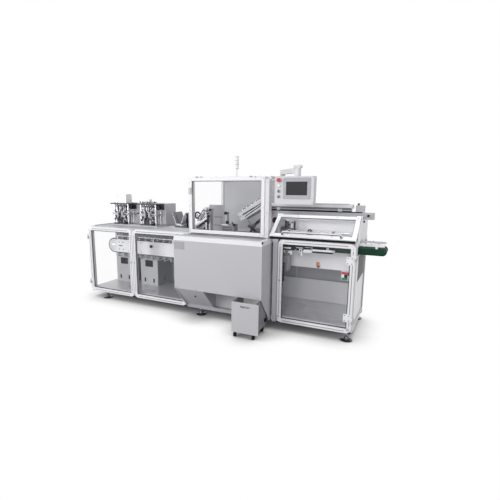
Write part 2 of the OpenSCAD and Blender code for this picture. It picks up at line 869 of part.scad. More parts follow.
// Slanted apron and the walls of the recess that the reject cart rolls into, folded from one sheet.
module recess_panels() {
    front_y = sheet_t - hood_out;
    wall_x = hood_x + apron_w;
    color("gray") place()
    union() {
        side_plate(hood_x + sheet_t, apron_w, [[front_y, hood_low], [0, low_rail],
            [0, low_rail + sheet_t], [front_y, hood_low + sheet_t]]);
        side_plate(wall_x, sheet_t, [[front_y, hood_low], [0, low_rail], [rail_y + sheet_t, low_rail],
            [rail_y + sheet_t, recess_h], [front_y, recess_h]]);
        block([wall_x, rail_y, low_rail], [hood_end - sheet_t, rail_y + sheet_t, recess_h]);
    }
}

// Decks on the base frame: one under the guard, one over the infeed with its product openings.
module decks() {
    infeed_end = hood_x - door_gap;
    behind_x = cabinet_end + door_gap;
    color("silver") place() {
        block([hood_x + sheet_t, rail_y, base_h], [guard_end + sheet_t + door_gap, frame_d, deck_top]);
        difference() {
            translate([0, 0, base_h]) linear_extrude(pan_t) polygon([[rail_x, rail_y], [infeed_end, rail_y],
                [infeed_end, frame_d], [behind_x, frame_d], [behind_x, cabinet_y], [rail_x, cabinet_y]]);
            product_drops(base_h, pan_t);
        }
    }
}

module guard_posts() {
    color("whitesmoke") place() {
        for (y = [rail_y, rear_y]) block([guard_x, y, deck_top], [guard_x + rail_w, y + rail_w, guard_rail]);
        block([guard_end - rail_w, rear_y, deck_top], [guard_end, frame_d, guard_rail]);
        block([guard_end - guard_w, 0, deck_top], [guard_end, rail_y + rail_w, guard_rail]);
    }
}

module guard_long_rails() {
    color("whitesmoke") place()
    for (y = [rail_y, rear_y])
        block([guard_x, y, guard_rail], [guard_end, y + rail_w, guard_top]);
}

module guard_side_rails() {
    color("whitesmoke") place()
    for (x = [guard_x, guard_end - rail_w])
        block([x, rail_y + rail_w, guard_rail], [x + rail_w, rear_y, guard_top]);
}

module back_board() {
    color("darkgray") place()
    block([guard_x + rail_w, rear_y + (rail_w - sheet_t) / 2, deck_top],
        [guard_end - rail_w, rear_y + (rail_w + sheet_t) / 2, guard_rail]);
}

tower_in = 213;
tower_pole_dia = 16;
tower_base_h = 8;
module tower_light() {
    color("gainsboro") place()
    translate([guard_x + tower_in, frame_d - tower_dia / 2, guard_top]) {
        cylinder(d = tower_dia - tower_base_h, h = tower_base_h);
        cylinder(d = tower_pole_dia, h = tower_pole);
        translate([0, 0, tower_pole]) cylinder(d = tower_dia, h = tower_h);
    }
}

incline_t = 10;
incline_h = 40;
incline_w = 120;
incline_plate = 12;
tier_step = 52;
tier_on = 20;
tie_w = 26;

// Inclined rails in two tiers, between which flat cartons slide, on a plate at the beam's end.
module incline_rails() {
    color("silver") place() {
        block([beam_x - incline_plate, beam_y - incline_w, beam_z],
            [beam_x, beam_y + beam_d, tray_z + tray_h]);
        translate([beam_x - incline_plate + overlap, beam_y, tray_z]) rotate([0, -incline_deg, 0])
        for (y = [-incline_w, -(incline_w + incline_t) / 2, -incline_t]) translate([-incline_l, y, 0]) {
            cube([incline_l, incline_t, incline_h]);
            translate([0, 0, tier_step]) cube([incline_l + tier_on, incline_t, incline_h]);
            for (x = [tie_w, incline_l - 2 * tie_w]) translate([x, 0, incline_h - overlap])
                cube([tie_w, incline_t, tier_step - incline_h + 2 * overlap]);
        }
    }
}

block_out = 500;
block_x = beam_x - block_out;
block_y = 260;
stem_r = 9;
strip_l = 290;
strip_h = 18;
strip_d = 36;
strip_gap = 12;
link_in = 320;
link_l = 96;
link_d = 56;
link_h = 54;
link_r = 14;
link_rod_r = 6;
link_reach = 80;
link_deg = 40;
link_set = 20;

// Carton feeder on the deck: block with an adjusting stem, guide strip, and a leaning cylinder with its rod.
module carton_feeder() {
    color("gray") place() translate([block_x, block_y, deck_top]) {
        cube([block_l, block_d, block_h]);
        translate([block_l / 3, block_d / 2, block_h - overlap]) cylinder(r = stem_r, h = stem_l + overlap);
        translate([block_l + strip_gap, 0, 0]) cube([strip_l, strip_d, strip_h]);
        translate([link_in, strip_d + strip_gap, 0]) {
            cube([link_l, link_d, link_h]);
            translate([link_l / 2, link_d / 2, link_h - link_set]) rotate([0, -link_deg, 0]) {
                cylinder(r = link_r, h = link_reach);
                cylinder(r = link_rod_r, h = 1.6 * link_reach);
            }
        }
    }
}

stand_y = beam_y + beam_d / 2;

groove_h = 8;
groove_d = 6;
end_block_in = 92;
hub_block_w = 60;
hub_block_h = 74;

// Beam with two grooves along its front, a block on its end and the handwheel's block under it.
module magazine_beam() {
    end = beam_x + magazine_l;
    color("silver") place()
    difference() {
        union() {
            block([beam_x, beam_y, beam_z], [end, beam_y + beam_d, beam_z + beam_h]);
            translate([end - end_block_in - end_block_l, beam_y, beam_z + beam_h - overlap])
                cube([end_block_l, beam_d, end_block_h + overlap]);
            translate([beam_x + wheel_in - hub_block_w / 2, beam_y, beam_z - hub_block_h])
                cube([hub_block_w, beam_d, hub_block_h + overlap]);
        }
        for (i = [1, 2])
            translate([beam_x - overlap, beam_y - overlap, beam_z + (i * beam_h - groove_h) / 3])
            cube([magazine_l + 2 * overlap, groove_d + overlap, groove_h]);
    }
}

tray_foot = 40;
tray_foot_in = 100;

// Carton tray on two feet, a groove along its front edge.
module magazine_tray() {
    front_y = stand_y - tray_d / 2;
    color("lightgray") place()
    difference() {
        union() {
            block([beam_x, front_y, tray_z], [beam_x + tray_l, stand_y + tray_d / 2, tray_z + tray_h]);
            for (x = [beam_x + tray_foot_in, beam_x + tray_l - tray_foot_in - tray_foot])
                block([x, beam_y, beam_z + beam_h], [x + tray_foot, beam_y + beam_d, tray_z + overlap]);
        }
        translate([beam_x - overlap, front_y - overlap, tray_z + (tray_h - groove_h) / 2])
            cube([tray_l + 2 * overlap, groove_d + overlap, groove_h]);
    }
}

ear_r = 14;
module cheek(x, low, rear) {
    side_plate(x, sheet_t, [[rail_y, low], [rear, low], [rear, beam_z],
        [cover_y + ear_r, beam_z], [cover_y + ear_r, cover_z], [cover_y, cover_z]]);
    translate([x, cover_y, cover_z]) rotate([0, 90, 0]) cylinder(r = ear_r, h = sheet_t);
}

// Cheeks that carry the cover's pins, and the wall that carries the magazine.
cover_pin_l = 30;
module upper_panels() {
    color("gainsboro") place() {
        cheek(cover_x - door_gap - sheet_t, deck_top, cover_y + 2 * ear_r);
        cheek(cover_end + door_gap, base_h, rear_y);
        for (x = [cover_x - door_gap - overlap, cover_end - cover_pin_l])
            translate([x, cover_y, cover_z]) rotate([0, 90, 0])
                cylinder(r = pin_r, h = cover_pin_l + door_gap + overlap);
        block([post_x, stand_y - sheet_t / 2, base_h],
            [right_x + rail_w / 2, stand_y + sheet_t / 2, beam_z]);
    }
}

inner_low = 600;
module inner_plate() {
    color("lightgray") place()
    block([post_x, inner_y, inner_low], [right_x + (rail_w - sheet_t) / 2, inner_y + sheet_t, top_rail]);
}

closing_in = 8;
closing_x = door_x + closing_in;
closing_y = 150;
closing_d = 22;
closing_h = 24;
closing_drop = 12;
closing_pitch = 104;
unit_w = 84;
unit_d = 38;
unit_h = 58;
unit_roller_r = 11;
hanger_w = 40;
unit_x = closing_x + hanger_w + closing_in;
drive_w = 54;
drive_d = 84;
drive_h = 160;
drive_cap = 26;

// Closing station: a bar hung from the front rail with units that fold and press, and their drive.
module closing_station() {
    x1 = outfeed_x - 2 * roller_r;
    z = top_rail - closing_drop;
    color("dimgray") place() {
        block([closing_x, closing_y, z - closing_h], [x1, closing_y + closing_d, z]);
        for (x = [closing_x, x1 - hanger_w])
            block([x, rail_y + rail_w, z - closing_h],
                [x + hanger_w, closing_y + overlap, top_rail + closing_drop]);
        for (i = [0 : closing_units - 1])
            translate([unit_x + i * closing_pitch, closing_y - unit_d, z - unit_h]) {
                cube([unit_w, unit_d + overlap, unit_h]);
                cross_rod([unit_w / 2, 0, 0], unit_roller_r, unit_d);
            }
        translate([closing_x, closing_y, inner_low]) {
            cube([sheet_t, inner_y - closing_y, drive_h]);
            cube([drive_w, drive_d, drive_h]);
            translate([drive_w / 2, drive_d / 2, drive_h - overlap])
                cylinder(d = drive_w - 2 * sheet_t, h = drive_cap + overlap);
        }
    }
}

bed_h = 2 * roller_r - 8;
bed_end = 10;
bed_side = 6;
roll_r = roller_r - fit_gap;
side_r = 24;

// Bed inside the belt, its side plates with the two rollers.
module outfeed_bed() {
    color("gainsboro") place() {
        block([outfeed_x + roller_r + belt_t + bed_end, belt_y - bed_side, belt_mid - bed_h / 2],
            [outfeed_end - roller_r - bed_end, inner_y, belt_mid + bed_h / 2]);
        translate([outfeed_x, 0, belt_mid]) {
            for (y = [belt_y - bed_side, belt_y + belt_w + overlap])
                at_depth(y, sheet_t) stadium(belt_run, side_r);
            for (x = [0, belt_run]) {
                cross_rod([x, belt_y, 0], roll_r, belt_w);
                cross_rod([x, belt_y - bed_side + overlap, 0], pin_r, belt_w + bed_side + 2 * overlap);
            }
        }
    }
}

module outfeed_belt() {
    color("darkgreen") place()
    translate([outfeed_x, 0, belt_mid]) at_depth(belt_y, belt_w) difference() {
        stadium(belt_run, roller_r + belt_t);
        stadium(belt_run, roller_r);
    }
}

guide_h = 36;
guide_low = 12;
guide_post = 20;
guide_end = 20;
press_l = 260;
press_h = 26;
press_t = 10;
press_drop = 17;
press_post = 16;

// Guides along the belt on posts from its bed, and the press bar under the closing station.
module outfeed_guides() {
    bed_top = belt_mid + bed_h / 2;
    press_z = top_rail - closing_drop - closing_h - press_drop - press_h;
    bed_x = [outfeed_x + roller_r + belt_t + bed_end, outfeed_end - roller_r - bed_end - guide_post];
    color("whitesmoke") place() {
        for (y = [belt_y - bed_side, inner_y - sheet_t]) {
            block([outfeed_x, y, belt_z + guide_low], [line_l - guide_end, y + sheet_t, belt_z + guide_h]);
            for (x = bed_x)
                block([x, y, bed_top], [x + guide_post, y + sheet_t, belt_z + guide_low + overlap]);
        }
        translate([unit_x + closing_units * closing_pitch, closing_y, press_z]) {
            translate([0, -press_t, 0]) cube([press_l, press_t, press_h]);
            for (x = [press_post, press_l / 2])
                translate([x, -overlap, 0]) cube([press_post, press_t + overlap, press_h + press_drop]);
        }
    }
}

motor_h = 62;
motor_cap = 18;
motor_cap_r = 24;
motor_gap = 5;
motor_in = column_inset - column_dia / 2 + motor_w / 2 - motor_cap_r - motor_gap;
crank_in = 638;
crank_rise = 27;
crank_r = 20;
crank_h = 14;
knob_r = 11;
knob_h = 20;
stop_l = 44;
stop_d = 22;
stop_h = 34;
wheel_drop = 105;
leaflet_wheel_r = 30;

// Black pieces on the fixed machine: motors, stops, knobs and the leaflet unit's wheel.
module black_fittings() {
    color("black") place() {
        for (i = [0, 1]) at_feeder(i) {
            translate([feeder_l - motor_in, (feeder_d - motor_w) / 2, column_h - motor_h]) {
                cube([motor_w, motor_w, motor_h]);
                cross_rod([motor_w / 2, -motor_cap, motor_h / 2], motor_cap_r, motor_cap + overlap);
            }
            translate([feeder_l - column_inset - stop_l, 0, 0]) cube([stop_l, stop_d, stop_h]);
            translate([feeder_l / 2, column_inset - clamp_d / 2, clamp_rise + clamp_h / 2])
                rotate([90, 0, 0]) knob(knob_r, knob_h);
        }
        translate([shaft_x + crank_in, infeed_y, infeed_z + crank_rise]) rotate([90, 0, 0])
            knob(crank_r, crank_h);
        translate([block_x, block_y + block_d / 2, deck_top + block_h]) {
            translate([block_l / 3, 0, stem_l]) knob(knob_r, knob_h);
            translate([block_l * 0.7, 0, 0]) knob(knob_r, knob_h);
        }
        translate([beam_x + magazine_l - end_block_in - end_block_l + 2 * knob_r, beam_y + beam_d / 2,
            beam_z + beam_h + end_block_h]) knob(knob_r, knob_h);
        translate([leaflet_x + leaflet_foot, leaflet_y, deck_top + leaflet_h - wheel_drop])
        rotate([90, 0, 0]) {
            cylinder(r = leaflet_wheel_r, h = knob_h / 2);
            cylinder(r = knob_r, h = knob_h);
        }
    }
}

module door_hinges() {
    color("dimgray") place() {
        for (z = hinge_zs(door_low, door_high)) {
            fixed_knuckle(left_hinge, z);
            block([0, -knuckle_r - overlap, z - knuckle_l - turn_gap],
                [leaf_t, rail_y + rail_w, z - turn_gap]);
            fixed_knuckle(middle_hinge, z);
            block([middle_hinge, -knuckle_r - overlap - leaf_t / 2, z - knuckle_l - turn_gap],
                [hood_x, leaf_t / 2 - knuckle_r - overlap, z - turn_gap]);
            fixed_knuckle(right_hinge, z);
            block([frame_l - leaf_t, -knuckle_r - overlap, z - knuckle_l - turn_gap],
                [frame_l, rail_y + rail_w, z - turn_gap]);
        }
        for (x = hinge_zs(guard_x, guard_door_end)) {
            translate([x - knuckle_l - turn_gap, -knuckle_r - overlap, guard_hinge]) rotate([0, 90, 0]) {
                cylinder(r = knuckle_r, h = knuckle_l);
                cylinder(r = pin_r, h = 2 * knuckle_l);
            }
            block([x - knuckle_l - turn_gap, -knuckle_r - overlap, guard_top],
                [x - turn_gap, rail_y + rail_w, guard_top + leaf_t]);
        }
    }
}

guard_hinge = guard_top + leaf_t - knuckle_r;
guard_door_top = guard_top - door_gap;

pivot_rim = 12;
module panel_pivot() {
    color("gray") place()
    translate([pivot_x, pivot_y, guard_top]) {
        cylinder(r = pivot_r + pivot_rim, h = arm_z - guard_top - turn_gap);
        cylinder(r = pivot_r, h = arm_z + arm_h - guard_top);
    }
}

module left_door_frame() {
    color("whitesmoke") place() {
        bent_frame(left_door[0], left_door[1], door_low, door_high, profile_w);
        for (z = hinge_zs(door_low, door_high)) door_leaf(left_hinge, z, 1);
    }
}

module left_door_pane() {
    color("white", 0.4) place()
    bent_pane(left_door[0], left_door[1], door_low, door_high, profile_w);
}

module middle_door_frame() {
    color("whitesmoke") place() {
        bent_frame(middle_door[0], middle_door[1], door_low, door_high, profile_w);
        for (z = hinge_zs(door_low, door_high)) door_leaf(middle_hinge, z, -1);
    }
}

module middle_door_pane() {
    color("white", 0.4) place()
    bent_pane(middle_door[0], middle_door[1], door_low, door_high, profile_w);
}

module right_door_frame() {
    color("whitesmoke") place() {
        bent_frame(right_door[0], right_door[1], door_low, door_high, profile_w);
        for (z = hinge_zs(door_low, door_high)) door_leaf(right_hinge, z, -1);
    }
}

module right_door_pane() {
    color("white", 0.4) place()
    bent_pane(right_door[0], right_door[1], door_low, door_high, profile_w);
}

module guard_door_frame() {
    color("whitesmoke") place() {
        frame_bars(guard_x, guard_door_end, deck_top + door_gap, guard_door_top, guard_w);
        for (x = hinge_zs(guard_x, guard_door_end)) difference() {
            union() {
                translate([x, -knuckle_r - overlap, guard_hinge]) rotate([0, 90, 0])
                    cylinder(r = knuckle_r, h = knuckle_l);
                block([x, -leaf_t, guard_hinge - leaf_w], [x + knuckle_l, 0, guard_hinge]);
            }
            translate([x - overlap, -knuckle_r - overlap, guard_hinge]) rotate([0, 90, 0])
                cylinder(r = pin_r + pin_clear, h = knuckle_l + 2 * overlap);
        }
    }
}

module guard_door_pane() {
    color("white", 0.4) place()
    frame_pane(guard_x, guard_door_end, deck_top + door_gap, guard_door_top, guard_w);
}

// Places the cover: its own x along the hinge, y up the slope from the hinge, z out of the cover.
module on_slope() {
    translate([cover_x, cover_y, cover_z]) rotate([cover_deg, 0, 0]) children();
}

cover_w = cover_end - cover_x;
eye_r = 12;
module cover_frame() {
    color("whitesmoke") place() on_slope()
    difference() {
        union() {
            for (x = [0, cover_w - guard_w])
                translate([x, -cover_l, -cover_t / 2]) cube([guard_w, cover_l - eye_r, cover_t]);
            for (y = [-cover_l, -eye_r - guard_w])
                translate([0, y, -cover_t / 2]) cube([cover_w, guard_w, cover_t]);
            for (x = [0, cover_w - guard_w]) {
                translate([x, 0, 0]) rotate([0, 90, 0]) cylinder(r = eye_r, h = guard_w);
                translate([x, -eye_r - overlap, -eye_r]) cube([guard_w, eye_r + overlap, 2 * eye_r]);
            }
        }
        translate([-overlap, 0, 0]) rotate([0, 90, 0])
            cylinder(r = pin_r + pin_clear, h = cover_w + 2 * overlap);
    }
}

handle_lift = 38;
handle_bend = 22;

// Quarter bend of the handle's tube, in the plane of its length and its lift.
module handle_elbow(turn) {
    rotate([90, 0, 0]) rotate(turn) rotate_extrude(angle = 90)
        translate([handle_bend, 0]) circle(d = handle_dia);
}

// Tubular handle along the cover's lower edge.
module cover_handle() {
    straight = handle_l - 2 * handle_bend;
    color("silver") place() on_slope() translate([cover_w / 2, guard_w / 2 - cover_l, cover_t / 2]) {
        for (s = [-1, 1]) {
            translate([s * handle_l / 2, 0, 0]) cylinder(d = handle_dia, h = handle_lift - handle_bend);
            translate([s * straight / 2, 0, handle_lift - handle_bend]) handle_elbow(s > 0 ? 0 : 90);
        }
        translate([-straight / 2, 0, handle_lift]) rotate([0, 90, 0]) cylinder(d = handle_dia, h = straight);
    }
}

module cover_pane() {
    color("white", 0.4) place() on_slope()
    translate([guard_w, guard_w - cover_l, -pane_t / 2])
        cube([cover_w - 2 * guard_w, cover_l - eye_r - 2 * guard_w, pane_t]);
}

boss_rim = 5;
joint_w = 70;
joint_h = 22;

// Arm from the pivot to the panel's head, with a joint block on the head.
module panel_arm() {
    reach = [head_x - pivot_x, head_y - pivot_y];
    boss_r = arm_w / 2 + boss_rim;
    color("gainsboro") place()
    difference() {
        union() {
            translate([pivot_x, pivot_y, arm_z]) cylinder(r = boss_r, h = arm_h);
            translate([pivot_x, pivot_y, arm_z]) rotate(atan2(reach[1], reach[0]))
                translate([0, -arm_w / 2, 0]) cube([norm(reach), arm_w, arm_h]);
            translate([head_x, head_y, panel_top]) cylinder(r = boss_r, h = arm_z + arm_h - panel_top);
            translate([head_x - joint_w / 2, head_y - joint_w / 2, arm_z + arm_h - overlap])
                cube([joint_w, joint_w, joint_h + overlap]);
        }
        translate([pivot_x, pivot_y, arm_z - overlap])
            cylinder(r = pivot_r + pin_clear, h = arm_h + 2 * overlap);
    }
}

panel_r = 8;
bezel_t = 6;
bezel_inset = 32;
screen_rise = 18;
bezel_r = 6;
screen_recess = 2;
module panel_box() {
    color("lightgray") place() translate([panel_x, 0, panel_z])
    at_depth(door_gap, panel_d) section(panel_w, panel_h, panel_r);
}

// Bezel with the screen set back in it.
module panel_screen() {
    color("dimgray") place()
    translate([panel_x + panel_w - bezel_w - bezel_inset, 0,
        panel_z + (panel_h - bezel_h) / 2 + screen_rise])
    difference() {
        at_depth(door_gap - bezel_t, bezel_t) section(bezel_w, bezel_h, bezel_r);
        translate([(bezel_w - screen_w) / 2, door_gap - bezel_t - overlap, (bezel_h - screen_h) / 2])
            cube([screen_w, screen_recess + overlap, screen_h]);
    }
}

button_r = 12;
button_l = 14;
button_count = 4;
button_pitch = 52;
mushroom_r = 20;
mushroom_h = 10;

// Buttons beside the screen, the top one with a mushroom head.
module panel_buttons() {
    color("firebrick") place()
    for (i = [0 : button_count - 1])
        translate([panel_x + (panel_w - bezel_w - bezel_inset) / 2, door_gap,
            panel_z + panel_h / 2 + screen_rise + (i - (button_count - 1) / 2) * button_pitch])
        rotate([90, 0, 0]) {
            cylinder(r = button_r, h = button_l);
            if (i == button_count - 1) translate([0, 0, button_l - overlap])
                cylinder(r = mushroom_r, h = mushroom_h);
        }
}

cart_r = 10;
grip_l = 80;
grip_r = 9;
grip_drop = 42;
front_over = 35;
front_low = 54;

// Upright outline with round upper corners.
module cart_outline(w, low) {
    translate([0, low]) square([w, cart_h - low - cart_r]);
    translate([cart_r, low]) square([w - 2 * cart_r, cart_h - low]);
    for (x = [cart_r, w - cart_r]) translate([x, cart_h - cart_r]) circle(cart_r);
}

// Open cart of sheet; its front reaches past the side of the hood and has a grip slot.
module cart_body() {
    color("silver") place() translate([cart_x, 0, 0])
    difference() {
        union() {
            at_depth(cart_y, cart_d) cart_outline(cart_w, cart_floor);
            at_depth(cart_y, cart_wall) cart_outline(cart_w + front_over, front_low);
        }
        block([cart_wall, cart_y + cart_wall, cart_floor + cart_wall],
            [cart_w - cart_wall, cart_y + cart_d - cart_wall, cart_h + overlap]);
        translate([(cart_w + front_over - grip_l) / 2, 0, cart_h - grip_drop])
            at_depth(cart_y - overlap, cart_wall + 2 * overlap) stadium(grip_l, grip_r);
    }
}

castor_inset = 26;
castor_plate = 5;
castor_axle = 4;
fork_t = 3;
fork_gap = 1;
fork_d = 20;

// Castors: a wheel on an axle in a fork under a plate.
module cart_castors() {
    fork_w = castor_w + 2 * fork_gap + 2 * fork_t;
    color("black") place()
    for (x = [castor_inset, cart_w - castor_inset], y = [castor_inset, cart_d - castor_inset])
        translate([cart_x + x, cart_y + y, castor_dia / 2]) {
            rotate([0, 90, 0]) {
                cylinder(d = castor_dia, h = castor_w, center = true);
                cylinder(r = castor_axle, h = fork_w, center = true);
            }
            for (s = [-1, 1]) translate([s * (fork_w - fork_t) / 2 - fork_t / 2, -fork_d / 2, -castor_axle])
                cube([fork_t, fork_d, cart_floor - castor_dia / 2 + castor_axle]);
            translate([-fork_w / 2, -fork_d, cart_floor - castor_dia / 2 - castor_plate])
                cube([fork_w, 2 * fork_d, castor_plate]);
        }
}

wheel_in = 110;
wheel_out = 70;
wheel_t = 14;
wheel_hub = 24;
wheel_shaft = 16;
module handwheel() {
    color("black") place()
    translate([beam_x + wheel_in, beam_y - wheel_out, beam_z - hub_block_h / 2]) rotate([-90, 0, 0]) {
        difference() {
            cylinder(d = wheel_dia, h = wheel_t);
            translate([0, 0, -overlap]) cylinder(d = wheel_dia * 0.7, h = wheel_t * 0.6 + overlap);
        }
        cylinder(d = wheel_hub, h = wheel_t);
        cylinder(d = wheel_shaft, h = wheel_out - fit_gap);
    }
}

long_rails();
cross_rails();
posts();
floor_pan();
levelling_feet();
rear_panels();
end_panes();
right_end_panel();
pedestals();
infeed_body();
infeed_chain();
infeed_flights();
rear_cabinet();
feeder_columns();
feeder_plates();
feeder_units();
leaflet_chute();
leaflet_unit();
hood_panels();
hood_sides();
hood_frame();
recess_panels();
decks();
guard_posts();
guard_long_rails();
guard_side_rails();
back_board();
tower_light();
incline_rails();
carton_feeder();
upper_panels();
magazine_beam();
magazine_tray();
inner_plate();
closing_station();
outfeed_bed();
outfeed_belt();
outfeed_guides();
black_fittings();
door_hinges();
panel_pivot();
left_door_frame();
left_door_pane();
middle_door_frame();
middle_door_pane();
guard_door_frame();
guard_door_pane();
cover_frame();
cover_pane();
cover_handle();
right_door_frame();
right_door_pane();
panel_arm();
panel_box();
panel_screen();
panel_buttons();
cart_body();
cart_castors();
handwheel();
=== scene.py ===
import bpy
import bmesh
import json
import math
from itertools import product
from mathutils import Matrix, Vector


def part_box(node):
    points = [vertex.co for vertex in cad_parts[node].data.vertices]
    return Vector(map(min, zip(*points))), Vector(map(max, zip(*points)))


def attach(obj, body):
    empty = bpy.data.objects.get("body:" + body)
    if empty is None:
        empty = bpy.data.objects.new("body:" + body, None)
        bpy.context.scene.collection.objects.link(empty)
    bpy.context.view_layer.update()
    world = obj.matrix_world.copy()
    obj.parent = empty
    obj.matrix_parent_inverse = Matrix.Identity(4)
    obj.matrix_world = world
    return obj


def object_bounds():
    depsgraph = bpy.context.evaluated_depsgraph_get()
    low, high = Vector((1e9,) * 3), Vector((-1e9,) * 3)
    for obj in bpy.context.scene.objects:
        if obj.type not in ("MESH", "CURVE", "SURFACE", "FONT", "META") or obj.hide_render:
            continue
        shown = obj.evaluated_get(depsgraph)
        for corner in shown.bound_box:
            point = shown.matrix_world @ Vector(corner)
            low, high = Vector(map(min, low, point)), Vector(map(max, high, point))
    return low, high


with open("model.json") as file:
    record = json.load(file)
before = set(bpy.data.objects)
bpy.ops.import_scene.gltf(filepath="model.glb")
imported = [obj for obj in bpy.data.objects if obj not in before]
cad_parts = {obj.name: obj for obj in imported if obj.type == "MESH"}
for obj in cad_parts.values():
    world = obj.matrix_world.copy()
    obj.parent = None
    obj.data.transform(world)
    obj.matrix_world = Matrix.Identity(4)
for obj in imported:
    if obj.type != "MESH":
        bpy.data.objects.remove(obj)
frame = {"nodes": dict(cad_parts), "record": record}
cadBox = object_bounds()
nodes = frame["nodes"]
print("frame loaded:", len(nodes), "nodes")


# a socket that can be used in sums, so shader maths reads as plain expressions
class Socket:
    def __init__(self, paint, socket):
        self.paint, self.socket = paint, socket

    def __add__(self, other):
        return self.paint.maths("ADD", self, other)

    def __mul__(self, other):
        return self.paint.maths("MULTIPLY", self, other)

    __radd__ = __add__
    __rmul__ = __mul__


socketNames = {
    "rough": "Roughness", "metal": "Metallic", "coat": "Coat Weight", "colour": "Base Color",
    "level": "Specular IOR Level"}
seenRays = ("Is Camera Ray", "Is Glossy Ray", "Is Transmission Ray")


# one node tree, of a material or of the world
class Paint:
    def __init__(self, owner, **fixed):
        owner.use_nodes = True
        self.material, self.tree = owner, owner.node_tree
        self.shader = self.tree.nodes.get("Principled BSDF") or self.tree.nodes["Background"]
        for socket, value in fixed.items():
            self.shader.inputs[socketNames[socket]].default_value = value
        self.place = self.node("ShaderNodeTexCoord", out="Object")  # metres, in the row frame

    def node(self, kind, settings=None, sockets=None, out=0):
        made = self.tree.nodes.new(kind)
        for key, value in (settings or {}).items():
            setattr(made, key, value)
        for key, value in (sockets or {}).items():
            self.feed(made.inputs[key], value)
        return Socket(self, made.outputs[out])

    def feed(self, socket, value):
        if isinstance(value, Socket):
            self.tree.links.new(value.socket, socket)
        else:
            socket.default_value = value

    def maths(self, operation, a, b):
        return self.node("ShaderNodeMath", {"operation": operation}, {0: a, 1: b})

    def stretched(self, scale):
        return self.node("ShaderNodeMapping", {}, {"Vector": self.place, "Scale": scale})

    def noise(self, scale, detail=4.0, rough=0.55, at=None):
        sockets = {"Vector": at or self.place, "Scale": scale, "Detail": detail, "Roughness": rough}
        return self.node("ShaderNodeTexNoise", {}, sockets)

    def axis(self, name):
        return self.node("ShaderNodeSeparateXYZ", {}, {0: self.place}, out=name)

    def spread(self, value, low, high, toLow=0.0, toHigh=1.0):
        sockets = {"Value": value, "From Min": low, "From Max": high, "To Min": toLow, "To Max": toHigh}
        return self.node("ShaderNodeMapRange", {}, sockets)

    def blend(self, amount, a, b):
        return self.node("ShaderNodeMix", {"data_type": "RGBA"}, {0: amount, 6: a, 7: b}, out=2)

    def bump(self, height, strength, distance):
        sockets = {"Height": height, "Strength": strength, "Distance": distance}
        self.set("Normal", self.node("ShaderNodeBump", {}, sockets))

    # 1 where the eye looks, straight or by gloss or glass, 0 for light that bounces
    def seen(self):
        rays = [self.node("ShaderNodeLightPath", out=ray) for ray in seenRays]
        return self.maths("MAXIMUM", self.maths("MAXIMUM", rays[0], rays[1]), rays[2])

    def set(self, socket, value):
        self.feed(self.shader.inputs[socket], value)


# sRGB bytes to the linear colour that a shader wants
def srgb(r, g, b):
    def channel(c):
        c /= 255
        return c / 12.92 if c <= 0.04045 else ((c + 0.055) / 1.055) ** 2.4
    return (channel(r), channel(g), channel(b), 1.0)


def shades(colour, factors):
    r, g, b, alpha = srgb(*colour)
    return [(r * k, g * k, b * k, alpha) for k in factors]


def newPaint(name, **fixed):
    return Paint(bpy.data.materials.new(name), **fixed)


# powder coat and paint: orange peel, faint cloudy tone, worn sheen
sheetLook = {
    "clouds": (2.2, 34.0), "share": (0.7, 0.3), "tone": (0.95, 1.025), "wear": 11.0, "wearDepth": 0.16,
    "peel": 700.0, "peelDepth": 0.06, "peelHeight": 0.0004}


def paintedSheet(name, colour, rough=0.42):
    look, paint = sheetLook, newPaint(name, coat=0.0)
    wide, fine = look["clouds"]
    tone = paint.noise(wide, 3.0) * look["share"][0] + paint.noise(fine, 2.0) * look["share"][1]
    paint.set("Base Color", paint.blend(tone, *shades(colour, look["tone"])))
    wear = paint.noise(look["wear"], 5.0)
    paint.set("Roughness", wear * look["wearDepth"] + (rough - look["wearDepth"] / 2))
    paint.bump(paint.noise(look["peel"], 1.0), look["peelDepth"], look["peelHeight"])
    return paint.material


# bare metal with fine lines along one axis
metalLook = {
    "tone": (0.82, 1.12), "streakDepth": 0.22, "smear": 5.0, "smearDepth": 0.14, "lineDepth": 0.08,
    "lineHeight": 0.0003}
lengthwise, allRound = (6.0, 900.0, 900.0), (40.0, 40.0, 40.0)


def brushedMetal(name, colour, rough=0.34, metal=1.0, lines=lengthwise):
    look, paint = metalLook, newPaint(name, metal=metal)
    streak = paint.noise(1.0, 6.0, 0.7, paint.stretched(lines))
    smear = paint.noise(look["smear"], 4.0)
    paint.set("Base Color", paint.blend(streak, *shades(colour, look["tone"])))
    middle = (look["streakDepth"] + look["smearDepth"]) / 2
    paint.set("Roughness", streak * look["streakDepth"] + smear * look["smearDepth"] + (rough - middle))
    paint.bump(streak, look["lineDepth"], look["lineHeight"])
    return paint.material


# moulded plastic and rubber with a fine spark texture
plasticLook = {"patches": 30.0, "tone": (0.88, 1.1), "sparkDepth": 0.2, "sparkHeight": 0.0003}


def mouldedPlastic(name, colour, rough=0.45, level=0.5, grain=1400.0, depth=0.12):
    look, paint = plasticLook, newPaint(name, level=level)
    spark, patches = paint.noise(grain, 2.0), paint.noise(look["patches"])
    paint.set("Base Color", paint.blend(patches, *shades(colour, look["tone"])))
    paint.set("Roughness", spark * look["sparkDepth"] + (rough - look["sparkDepth"] / 2))
    paint.bump(spark, depth, look["sparkHeight"])
    return paint.material


# clear sheet: nearly nothing but its gloss, faint wipe marks
clearLook = {
    "level": 0.06, "wipe": 3.0, "wipeStretch": (1.0, 1.0, 4.0), "wipeDepth": 0.02, "gloss": (0.08, 0.03)}


